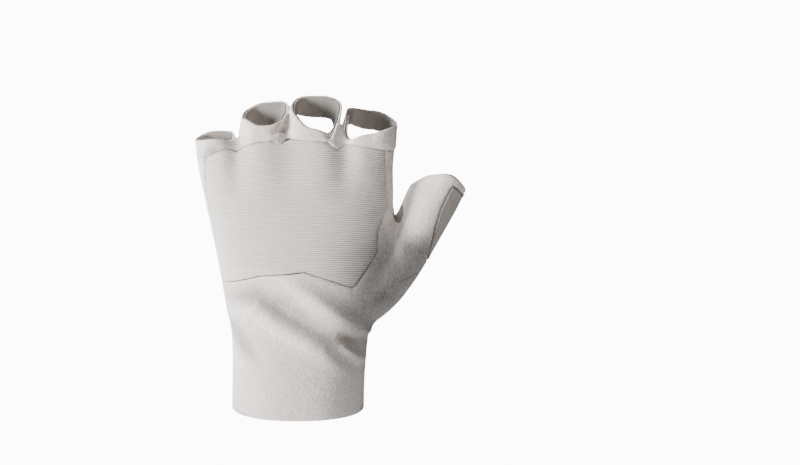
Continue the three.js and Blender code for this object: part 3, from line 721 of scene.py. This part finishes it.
rib_wave = 1 - 2 * np.abs(np.cos(rib_line / RIB_PITCH * np.pi)) ** RIB_FULLNESS


def clipped_with(points, faces, normals, extra, field):
    """clipped, which also carries one extra value a point to the cut sheet."""
    moved, new_faces, new_normals, edge = clipped(points, faces, normals, field)
    tree = BVHTree.FromPolygons(points.tolist(), faces.tolist())
    values = np.zeros(len(moved))
    for i, point in enumerate(moved):
        face = tree.find_nearest(Vector(point))[2]
        corner = faces[face]
        weight = 1 / (np.linalg.norm(points[corner] - point, axis=1) + 1e-6)
        values[i] = (extra[corner] * weight).sum() / weight.sum()
    return moved, new_faces, new_normals, edge, values


*rib_sheet, rib_value = clipped_with(rib_points, rib_faces, rib_normals, rib_wave, rib_field)
edge_fade = smoothstep(rib_sheet[3], 0.2, 1.0)
rib_relief = (rib_value - 1) * 0.5 * RIB_HEIGHT * edge_fade

ribbed_grip = cloth_material(
    "ribbed_knit_coated", "#EAE1DB", "#F7EFE9",
    roughness=0.62, sheen=0.1, fuzz_mm=0.8, fuzz_height=0.02,
)
paint_shade_by_dark(ribbed_grip)
add_piece(
    "ribbed_panel_knit", *thickened(*rib_sheet, PANEL_PROUD, PANEL_WALL, round_edge=0.7, relief=rib_relief),
    ribbed_grip, "ribbed_grip", "ribbed_panel",
    dark=0.25 * (1 - rib_value) * edge_fade + 0.7 * painted_thumb_shade(rib_sheet[0]) + 0.4 * (1 - edge_fade),
)

# Lining: grey brushed suede laminated behind the back and inside the thumb. It is what
# shows through the open palm and the finger openings, and is darker than the outside.
LINING_TOP, LINING_WALL, LINING_PAST_EDGE = -(SHELL_WALL + GAP), 0.9, 0.2
grey_suede = cloth_material(
    "suede_lining_grey", "#7F7771", "#8B837D",
    roughness=0.95, sheen=0.2, fuzz_mm=0.7, fuzz_height=0.2, mottle_mm=20.0,
)
lining_field = np.minimum(trimmed_field(form_points), palm_field(form_points, -LINING_PAST_EDGE))
sheet = cut_from_form(lining_field)
add_piece(
    "back_lining_suede", *thickened(*sheet, LINING_TOP, LINING_WALL, round_edge=0.6, seen_inside=True),
    grey_suede, "grey_suede", "back_lining",
)

# Thumb pad band: a stretch knit with a fine diagonal grain, sewn to the leather with a
# rolled seam along its edge. The grain is too fine to show as lines and is drawn as nap,
# and the band carries painted shade along its border, at the seam.
WELT_FROM_EDGE, WELT_REACH, WELT_HEIGHT = 1.0, 0.6, 0.3
band_sheet_field = np.minimum(trimmed_field(form_points), band_field(form_points))
sheet = cut_from_form(band_sheet_field)
welt = WELT_HEIGHT * np.exp(-(((sheet[3] - WELT_FROM_EDGE) / WELT_REACH) ** 2))
thumb_knit = cloth_material(
    "stretch_knit_diagonal", "#9A928C", "#B2AAA4",
    roughness=0.8, sheen=0.2, fuzz_mm=0.7, fuzz_height=0.08,
)
paint_shade_by_dark(thumb_knit)
add_piece(
    "thumb_band_knit", *thickened(*sheet, 0.0, SHELL_WALL, round_edge=0.6, relief=welt),
    thumb_knit, "ribbed_grip", "thumb_band", dark=0.6 * smoothstep(sheet[3], 0.9, 0.2),
)

# Binding: a narrow woven tape of light polyester, folded over the raw edge of the heel
# flap and sewn down. It stands a little over the leather.
BINDING_FOOT, BINDING_TOP, BINDING_PROUD = 38.1, 87.3, 0.4
binding_tape = cloth_material(
    "woven_tape_light", "#A7A29D", "#BEB9B4",
    roughness=0.8, sheen=0.1, fuzz_mm=0.4, fuzz_height=0.05,
)
binding_field = np.minimum.reduce([
    trimmed_field(form_points), palm_field(form_points, 0.0),
    heel_region_field(form_points) - GAP, BINDING_TOP - form_points[:, 2], form_points[:, 2] - BINDING_FOOT,
])
sheet = cut_from_form(binding_field)
add_piece(
    "heel_binding_tape", *thickened(*sheet, BINDING_PROUD, SHELL_WALL + BINDING_PROUD, round_edge=0.8),
    binding_tape, "binding", "heel_binding",
)

# Cuff underflap: the lining's grey suede, which lies under the heel flap on the thumb
# side and closes the cuff.
UNDERFLAP_TOP, UNDERFLAP_LEFT = 33.4, -20
underflap_field = np.minimum.reduce([
    form_points[:, 2], UNDERFLAP_TOP - form_points[:, 2], form_points[:, 0] - UNDERFLAP_LEFT,
    form_points[:, 1] - CUFF_EDGE_Y - GAP, inside_outline(form_points[:, [0, 2]], palm_outline) - GAP,
])
sheet = cut_from_form(underflap_field)
add_piece(
    "cuff_underflap_suede", *thickened(*sheet, LINING_TOP, LINING_WALL, round_edge=0.6),
    grey_suede, "grey_suede", "cuff_underflap",
)

# Closure patch: black nylon loop pile, sewn to the heel flap. Its loops stand in small
# tufts and its cut edge shows the light fibres of the ground cloth.
PATCH_OUTLINE = [
    (18.5, 35.4), (-25.7, 34.5), (-27.8, 18.5), (-30, 2.8),
    (-13.3, 3.7), (-1.5, 5.7), (9.8, 9.9), (18.4, 14.9),
]
PATCH_THICKNESS = 1.1


def palm_side(points, field):
    return np.where(points[:, 1] > 1, field, OUTSIDE)


def value_noise(points, cell, seed):
    """Smooth random values from -1 to 1 on cells of one size."""
    primes = np.array([73856093, 19349663, 83492791])
    spot = points / cell
    low = np.floor(spot).astype(np.int64)
    part = spot - low
    part = part * part * (3 - 2 * part)
    total = 0
    for corner in range(8):
        step = np.array([corner & 1, corner >> 1 & 1, corner >> 2 & 1])
        cell_id = (low + step) @ primes + seed * 2654435761
        mixed = (cell_id ^ (cell_id >> 13)) * 1274126177
        value = (mixed ^ (mixed >> 16)) % 65536 / 32768 - 1
        total = total + value * np.prod(np.where(step == 1, part, 1 - part), axis=1)
    return total


loop_pile = cloth_material(
    "nylon_loop_pile_black", "#010101", "#080808",
    roughness=0.95, sheen=0.04, fuzz_mm=0.5, fuzz_height=0.5, mottle_mm=1.2,
)
patch_field = palm_side(form_points, inside_outline(form_points[:, [0, 2]], PATCH_OUTLINE))
sheet = cut_from_form(patch_field)
tufts = 0.16 * value_noise(sheet[0], 1.1, 3) + 0.1 * value_noise(sheet[0], 2.6, 4)
add_piece(
    "closure_patch_pile",
    *thickened(*sheet, GAP + PATCH_THICKNESS, PATCH_THICKNESS, round_edge=0.7, relief=tufts),
    loop_pile, "loop_pile", "closure_patch",
)

# Closure strap: moulded black polyurethane over hook tape, smooth and slightly satin,
# with a raised rim and a pointed end. It is sewn down at the thumb side of the cuff.
STRAP_LOW, STRAP_WIDTH, STRAP_THICKNESS = 14, 17, 1.5
STRAP_TIP_X, STRAP_TIP, STRAP_ROOT_Y = -3.7, 9, 7
CUFF_HALF_DEPTH, CUFF_HALF_WIDTH = 18, 34
strap_outline = [
    (FAR, STRAP_LOW), (FAR, STRAP_LOW + STRAP_WIDTH),
    (STRAP_TIP_X + STRAP_TIP, STRAP_LOW + STRAP_WIDTH - 0.5),
    (STRAP_TIP_X, STRAP_LOW + 0.35 * STRAP_WIDTH), (STRAP_TIP_X + 0.42 * STRAP_TIP, STRAP_LOW),
]
strap_field = palm_side(form_points, inside_outline(form_points[:, [0, 2]], strap_outline))
strap_field = np.minimum(strap_field, form_points[:, 1] - STRAP_ROOT_Y)
sheet = cut_from_form(strap_field)
# the strap lies on the leather at its root and climbs onto the patch
strap_turn = np.arctan2(sheet[0][:, 1] / CUFF_HALF_DEPTH, sheet[0][:, 0] / CUFF_HALF_WIDTH)
strap_seat = GAP + (PATCH_THICKNESS + GAP) * smoothstep(strap_turn, 0.45, 0.85)
rim_bead = 0.22 * np.exp(-(((sheet[3] - 1.1) / 0.5) ** 2)) - 0.12 * smoothstep(sheet[3], 1.2, 2.2)
black_strap = cloth_material(
    "polyurethane_moulded_black", "#0B0B0B", "#111111",
    roughness=0.5, sheen=0.0, fuzz_mm=0.6, fuzz_height=0.02,
)
add_piece(
    "closure_strap_moulded",
    *thickened(*sheet, strap_seat + STRAP_THICKNESS, STRAP_THICKNESS, round_edge=0.6, relief=rim_bead),
    black_strap, "black_strap", "closure_strap",
)

# Tabs: the ends of the finger loops' suede tape, which come down between the fingers and
# are sewn to the lining with a row or a ring of thread.
TAB_WIDTH, TAB_THICKNESS, TAB_FOOT, TAB_TOP = 6.8, 1.2, 107.9, 140.5
TABS = {"index": (24.5, 19.5), "middle": (-4.0, -1.5), "ring": (-27.0, -22.5)}
TAB_DEPTH = -(SHELL_WALL + GAP + LINING_WALL + GAP)
tab_suede = cloth_material(
    "suede_tape_dark", "#625B55", "#726A64",
    roughness=0.95, sheen=0.15, fuzz_mm=0.7, fuzz_height=0.2,
)
for finger, (top_x, foot_x) in TABS.items():
    half, low = TAB_WIDTH / 2, TAB_FOOT
    outline = [
        (top_x - half, TAB_TOP), (foot_x - half, low + 1), (foot_x - half + 1, low), (foot_x + half - 1, low),
        (foot_x + half, low + 1), (top_x + half, TAB_TOP),
    ]
    tab_field = inside_outline(form_points[:, [0, 2]], outline)
    sheet = cut_from_form(np.where(form_points[:, 1] < 0, tab_field, OUTSIDE))
    add_piece(
        f"tab_{finger}_suede", *thickened(*sheet, TAB_DEPTH, TAB_THICKNESS, round_edge=0.5, seen_inside=True),
        tab_suede, "tab_suede", f"tab_{finger}",
    )

# Tab stitches: grey polyester thread. The ring tab has a ring of stitches, the middle one
# a bar, a zigzag and an open box, and the index one a box with a cross.
THREAD_RADIUS, THREAD_SIDES, THREAD_LIFT = 0.17, 6, 0.02
thread_points, thread_faces = [], []


def stitch(start, end, radius=THREAD_RADIUS):
    """One stitch of thread, a thin spindle that dips at both ends."""
    around = THREAD_SIDES
    start, end = np.asarray(start, float), np.asarray(end, float)
    run = (end - start) / np.linalg.norm(end - start)
    side = np.cross(run, (0, 0, 1) if abs(run[2]) < 0.9 else (1, 0, 0))
    side /= np.linalg.norm(side)
    up = np.cross(run, side)
    turn = np.arange(around) / around * 2 * np.pi
    base = sum(len(p) for p in thread_points)
    shares = [(0, 0.45), (0.15, 0.9), (0.5, 1), (0.85, 0.9), (1, 0.45)]
    section = radius * (np.cos(turn)[:, None] * side + np.sin(turn)[:, None] * up)
    rows = [start + (end - start) * share + size * section for share, size in shares]
    thread_points.append(np.vstack(rows))
    for row in range(len(shares) - 1):
        for i in range(around):
            j = (i + 1) % around
            low, high = base + row * around, base + (row + 1) * around
            thread_faces.append([low + i, low + j, high + j, high + i])
    last = base + (len(shares) - 1) * around
    thread_faces.append([base + i for i in range(around)][::-1])
    thread_faces.append([last + i for i in range(around)])


def add_threads(name, material, slot):
    """Joins the stitches made since the last call into one piece."""
    add_piece(name, np.vstack(thread_points), thread_faces, material, slot)
    thread_points.clear()
    thread_faces.clear()


def on_back(x, z, depth):
    """The point of the back over x and z, let in by depth."""
    spot, normal, *_ = form_tree.ray_cast(Vector((x, 4.0, z)), Vector((0, -1, 0)))
    return np.array(spot) - np.array(normal) * (-depth if normal[1] > 0 else depth)


def stitch_row(path, pitch, length, place_at):
    """Stitches of one length along a flat path, laid on a surface by place_at."""
    path = np.asarray(path, float)
    run = np.concatenate([[0], np.cumsum(np.linalg.norm(np.diff(path, axis=0), axis=1))])
    for middle in np.arange(pitch / 2, run[-1], pitch):
        ends = [[np.interp(middle + k * length / 2, run, path[:, axis]) for axis in (0, 1)] for k in (-1, 1)]
        if np.hypot(ends[1][0] - ends[0][0], ends[1][1] - ends[0][1]) > 0.2:
            stitch(place_at(*ends[0]), place_at(*ends[1]))


def on_tab(x, z):
    return on_back(x, z, -TAB_DEPTH + TAB_THICKNESS + THREAD_LIFT)


thread_grey = cloth_material(
    "polyester_thread_grey", "#8E8680", "#9E9690",
    roughness=0.6, sheen=0.0, fuzz_mm=0.3, fuzz_height=0.02, mottle_mm=3.0,
)
RING_X, RING_Z, RING_RADIUS = -22, 106.5, 3.6
ring_turn = np.linspace(0, 2 * np.pi, 40)
ring_path = [RING_X + RING_RADIUS * np.cos(ring_turn), RING_Z + RING_RADIUS * np.sin(ring_turn)]
zigzag = [(-4.4 + 0.75 * k, 119.2 + 1.1 * (k % 2)) for k in range(9)]
TAB_ROWS = [
    # pitch, a stitch's length, path of (x, z)
    (1.2, 0.95, np.stack(ring_path, 1)),
    (1.0, 0.8, [(-4.4, 121.2), (1.5, 121.2)]),
    (1.33, 1.1, zigzag),
    (1.3, 1.0, [(-4.3, 117.5), (-4.1, 109.6), (1.2, 109.6), (1.4, 117.5)]),
    (1.3, 1.0, [(17.2, 116.8), (16.9, 109.4), (22.1, 109.4), (22.6, 116.8), (17.2, 116.8)]),
    (1.2, 1.0, [(17.6, 110), (21.8, 114)]),
    (1.2, 1.0, [(21.6, 110), (17.8, 114)]),
]
for pitch, length, path in TAB_ROWS:
    stitch_row(path, pitch, length, on_tab)
add_threads("tab_stitches", thread_grey, "tab_suede")


# Seam threads: thin dark grey polyester thread, which lies open in the seam at the
# thumb's base and in the cuff's lower corners. Its dark grey is partly painted shade, the
# shade in the seams.
def on_front(x, z):
    """The point of the back that faces the camera over x and z."""
    spot, *_ = form_tree.ray_cast(Vector((x, -80.0, z)), Vector((0, 1, 0)))
    return np.array(spot)


SEAM_PATHS = [
    [(50, 67.4), (54, 69), (59.5, 71.2)],
    [(-33.2, 5.5), (-32.4, 2.6), (-29, 1.6), (-25.5, 1.1)],
    [(31.6, 1.2), (32.4, 4.2)],
]
for path in SEAM_PATHS:
    stitch_row(path, 0.9, 1.1, on_front)
thread_dark = cloth_material(
    "polyester_thread_dark", "#57514D", "#645E5A",
    roughness=0.6, sheen=0.0, fuzz_mm=0.3, fuzz_height=0.02, mottle_mm=3.0,
)
add_threads("seam_threads", thread_dark, "white_suede")

# Crotch gusset: a small grey suede patch let into the corner between thumb and hand, with
# the leather's light cut edge rolled round its foot.
CROTCH_OUTLINE = [(47.2, 104), (47.6, 99), (48.6, 96.8), (50.2, 96), (51.8, 97.2), (52.4, 100), (52.2, 105)]
CROTCH_REACH_Y, CROTCH_TOP, CROTCH_WALL, CUT_EDGE_RADIUS = 5.0, 0.35, 0.5, 0.32
crotch_field = inside_outline(form_points[:, [0, 2]], CROTCH_OUTLINE)
crotch_field = np.minimum(crotch_field, CROTCH_REACH_Y - form_points[:, 1])
sheet = cut_from_form(crotch_field)
add_piece(
    "crotch_gusset_suede", *thickened(*sheet, CROTCH_TOP, CROTCH_WALL, round_edge=0.2),
    grey_suede, "grey_suede",
)
crotch_edge = smooth_line(CROTCH_OUTLINE[1:-1], 14)
for start, end in zip(crotch_edge, crotch_edge[1:]):
    stitch(on_front(*start), on_front(*end), CUT_EDGE_RADIUS)
add_threads("crotch_edge_suede", white_suede, "white_suede")


# Frayed fibres: light polyester fibres of the patch's ground cloth, which stand out of
# its cut lower edge.
def on_palm(x, z, height):
    """The point over the palm side at x and z, raised by height."""
    spot, normal, *_ = form_tree.ray_cast(Vector((x, 80.0, z)), Vector((0, -1, 0)))
    return np.array(spot) + np.array(normal) * height


FIBRES, FIBRE_RADIUS, FIBRE_SEED = 150, 0.07, 7
fibre_white = cloth_material(
    "polyester_fibre_light", "#C9C5C1", "#D9D5D1",
    roughness=0.7, sheen=0.0, fuzz_mm=0.3, fuzz_height=0.02, mottle_mm=3.0,
)
frayed_edge = np.array(PATCH_OUTLINE[3:] + PATCH_OUTLINE[:1], float)
frayed_run = np.concatenate([[0], np.cumsum(np.linalg.norm(np.diff(frayed_edge, axis=0), axis=1))])
chance = random.Random(FIBRE_SEED)
for _ in range(FIBRES):
    spot = chance.uniform(0, frayed_run[-1])
    x, z = (np.interp(spot, frayed_run, frayed_edge[:, axis]) for axis in (0, 1))
    turn, reach = chance.uniform(0, 2 * math.pi), chance.uniform(0.5, 1.1)
    start = on_palm(x, z, 0.5 + GAP)
    end = on_palm(x + reach * math.cos(turn), z + reach * math.sin(turn), 0.4 + GAP + chance.uniform(0, 0.7))
    stitch(start, end, FIBRE_RADIUS)
add_threads("patch_fibres", fibre_white, "loop_pile")

# Finger loops: bands of the white suede round each finger, joined in a yoke on the back.
# The three larger ones are cut lower on the back than on the palm. Each is lined with a
# grey suede. Its colour is painted lighter, as painted light for the dim inside of the loops,
# and darker on the thumb side, as painted shade over the part that the key light lights.
LOOP_HEIGHT, FINGER_DEPTH, FINGER_SQUARE, PALM_SQUARE = 12, 26, 2.6, 3.2
LOOP_WALL, LOOP_LINING, LINING_INSET = 1.0, 0.5, 0.2
RING_STEPS, BAND_ROWS = 150, 12
# Levels, sides at the foot and at the top, then the rim's and the hem's heights over the
# knuckle line at eight places from the thumb side round by the palm. Levels and heights
# are shares of LOOP_HEIGHT, and sides are millimetres across.
LOOPS = {
    "pinky": ((-0.6, 0), (-50, -29.6), (-51.1, -31.9),
              (-0.09, -0.09, -0.12, -0.27, -0.25, -0.1, -0.01, -0.07),
              (-0.55, -0.75, -1.2, -1.7, -1.2, -1.1, -0.9, -0.62)),
    "ring": ((-0.2, 1), (-29.2, -8.4), (-26.9, -4.5), (1.06, 1.15, 1.09, 0.86, 0.72, 0.74, 0.55, 0.72),
             (-0.3, 0.1, -0.05, -0.3, -0.6, -0.6, -0.45, -0.4)),
    "middle": ((-0.2, 1.25), (-8, 19.3), (-2.6, 22.4), (1.02, 1.24, 1.36, 1.31, 1.14, 0.92, 0.46, 0.26),
               (-0.3, 0.28, 0.38, 0.5, 0.1, -0.4, -0.4, -0.6)),
    "index": ((-0.4, 0.85), (19.7, 48.5), (24.3, 50), (0.4, 0.47, 0.75, 0.9, 0.84, 0, 0.23, 0.42),
              (-0.62, -0.35, -0.12, 0.12, -0.3, -0.6, -0.6, -0.8)),
}
# across, saddle height and half-width of the leather between two loops on the back, the
# height that it falls to at that half-width, and the yoke's height over the seam elsewhere
WEB_SADDLES = [(-29.5, 142.4, 6.5), (-8.0, 145.4, 5.5), (20.6, 149.5, 5.2)]
SADDLE_FOOT, YOKE_FLAT = 137, 2.4


def round_blend(values, angle):
    """Catmull-Rom blend through values spread evenly round a circle."""
    values = np.asarray(values, float)
    spot = angle / (2 * np.pi) * len(values)
    i = np.floor(spot).astype(int)
    f = spot - i
    a, b, c, d = (values[(i + k) % len(values)] for k in (-1, 0, 1, 2))
    return b + 0.5 * f * (c - a + f * (2 * a - 5 * b + 4 * c - d + f * (3 * (b - c) + d - a)))


# the hand's back at the knuckle seam, as depths across, and how fast a loop may stand off it
SEAM_HEIGHT, FOOT_FLARE = 139, 0.7
back_turn = np.radians(np.linspace(180, 360, 120))
seam_t = np.full(len(back_turn), np.interp(SEAM_HEIGHT, dense_z, dense_t))
hand_back = hand_point(back_turn, seam_t)[:, :2] * (1, -1)


def ring_band(loop, outer_inset, inner_inset, rim_drop, below_seam):
    """A band round a finger, from its hem to its rim, with rounded edges."""
    around, up = RING_STEPS, BAND_ROWS
    levels, foot_sides, top_sides, rims, hems = loop
    angle = np.arange(around) / around * 2 * np.pi
    square = np.where(angle < np.pi, PALM_SQUARE, FINGER_SQUARE)
    rim = round_blend(rims, angle) * LOOP_HEIGHT - rim_drop
    hem = round_blend(hems, angle) * LOOP_HEIGHT + GAP
    wall = inner_inset - outer_inset

    def at(height, inset):
        """Points of the band; near the seam its back lies no prouder than the hand's."""
        spread = np.clip((height / LOOP_HEIGHT - levels[0]) / (levels[1] - levels[0]), 0, 1)
        left, right = (foot_sides[k] + (top_sides[k] - foot_sides[k]) * spread for k in (0, 1))
        x = (left + right) / 2 + ((right - left) / 2 - inset) * root(np.cos(angle), 2 / square)
        y = (FINGER_DEPTH / 2 - inset) * root(np.sin(angle), 2 / square)
        seam_rise = BACK_LENGTH + height - np.interp(x, seam_line[:, 0], seam_line[:, 1])
        proud = np.interp(x, hand_back[:, 0], hand_back[:, 1]) - inset + FOOT_FLARE * np.maximum(seam_rise, 0)
        return np.stack([x, np.maximum(y, -np.maximum(proud, 1)), BACK_LENGTH + height], 1)

    foot = at(hem, outer_inset)
    over_seam = np.interp(foot[:, 0], seam_line[:, 0], seam_line[:, 1]) - BACK_LENGTH - below_seam
    hem = np.where(foot[:, 1] < CUFF_EDGE_Y + GAP, np.maximum(hem, over_seam), hem + rim_drop)
    turn = np.linspace(0, np.pi, 6)[1:-1]
    profile = [(k / up, outer_inset, 0) for k in range(up + 1)]
    profile += [(1, outer_inset + wall / 2 * (1 - math.cos(a)), wall / 2 * math.sin(a)) for a in turn]
    profile += [(1 - k / up, inner_inset, 0) for k in range(up + 1)]
    profile += [(0, inner_inset - wall / 2 * (1 - math.cos(a)), -wall / 2 * math.sin(a)) for a in turn]
    low, high = hem + wall / 2, rim - wall / 2
    points = [at(low + (high - low) * share + rise, inset) for share, inset, rise in profile]
    ring = np.arange(around)
    quads = []
    for row in range(len(points)):
        start, after = row * around, (row + 1) % len(points) * around
        quads.append(np.stack([
            start + ring, start + (ring + 1) % around, after + (ring + 1) % around, after + ring,
        ], 1))
    return np.vstack(points), np.vstack(quads).tolist()


LOOP_VOXEL, LOOP_SWELL, YOKE_EDGE_X = 0.45, 0.3, 51
over_seam = form_points[:, 2] - np.interp(form_points[:, 0], seam_line[:, 0], seam_line[:, 1])
web_field = YOKE_FLAT - over_seam
for web_x, saddle, half in WEB_SADDLES:
    fall = (saddle - SADDLE_FOOT) / half**2
    web_field = np.maximum(web_field, saddle - fall * (form_points[:, 0] - web_x) ** 2 - form_points[:, 2])
web_field = np.minimum.reduce([
    web_field, over_seam + GAP / 2, -form_points[:, 1] - CUFF_EDGE_Y, YOKE_EDGE_X - form_points[:, 0],
])
web_sheet = cut_from_form(web_field)
bands = [
    ring_band(loop, -LOOP_SWELL, LOOP_WALL, rim_drop=0.0, below_seam=GAP / 2) for loop in LOOPS.values()
]
webs = thickened(*web_sheet, LOOP_SWELL, LOOP_SWELL + LOOP_WALL, round_edge=0.0)
yoke_points, yoke_faces = fused(bands + [webs], LOOP_VOXEL)
# the leather between two loops is eased into a saddle; the rest keeps its form
near_web = np.max([smoothstep(np.abs(yoke_points[:, 0] - x), 8.0, 3.5) for x, *_ in WEB_SADDLES], axis=0)
over_hem = yoke_points[:, 2] - np.interp(yoke_points[:, 0], seam_line[:, 0], seam_line[:, 1])
near_web *= smoothstep(yoke_points[:, 1], -2, -5) * smoothstep(yoke_points[:, 2], 150, 145)
near_web *= smoothstep(over_hem, 0.2, 1.6)
yoke_points = eased(yoke_points, yoke_faces, passes=4, strength=0.5)
yoke_points = eased(yoke_points, yoke_faces, passes=26, strength=0.6 * near_web[:, None])
yoke_normals = point_normals(yoke_points, yoke_faces)
creases = 0.22 * value_noise(yoke_points, 6.0, 11) + 0.07 * value_noise(yoke_points, 1.8, 12)
yoke_points = yoke_points + yoke_normals * creases[:, None]
add_piece(
    "finger_loops_suede", yoke_points, yoke_faces, white_suede, "white_suede",
    "loop_pinky", "loop_ring", "loop_middle", "loop_index",
)

LINING_RIM_DROP, LINING_BELOW_SEAM, LINING_PAINTED_SHADE = 0.45, 2.5, 0.66
lining_points, lining_faces = [], []
lining_outer = LOOP_WALL + LINING_INSET
for loop in LOOPS.values():
    ring_points, ring_faces = ring_band(
        loop, lining_outer, lining_outer + LOOP_LINING, LINING_RIM_DROP, LINING_BELOW_SEAM
    )
    base = sum(len(p) for p in lining_points)
    lining_points.append(ring_points)
    lining_faces += [[i + base for i in face] for face in ring_faces]
lining_points = np.vstack(lining_points)
# how far each point lies to the thumb side of its loop, from -1 to 1
thumbward = np.tile(np.cos(np.arange(RING_STEPS) / RING_STEPS * 2 * np.pi), len(lining_points) // RING_STEPS)
# painted light: the lining's tones are lighter than the lining suede's, for the dim inside of the loops
loop_lining = cloth_material(
    "suede_loop_lining", "#C2B9B2", "#D0C7C0",
    roughness=0.95, sheen=0.2, fuzz_mm=0.7, fuzz_height=0.15, mottle_mm=10.0,
)
paint_shade_by_dark(loop_lining)
# painted shade on the thumb side of the lining, which the key light lights most
add_piece(
    "finger_loops_lining", lining_points, lining_faces, loop_lining, "grey_suede",
    dark=LINING_PAINTED_SHADE * smoothstep(thumbward, -0.75, 0.6),
)
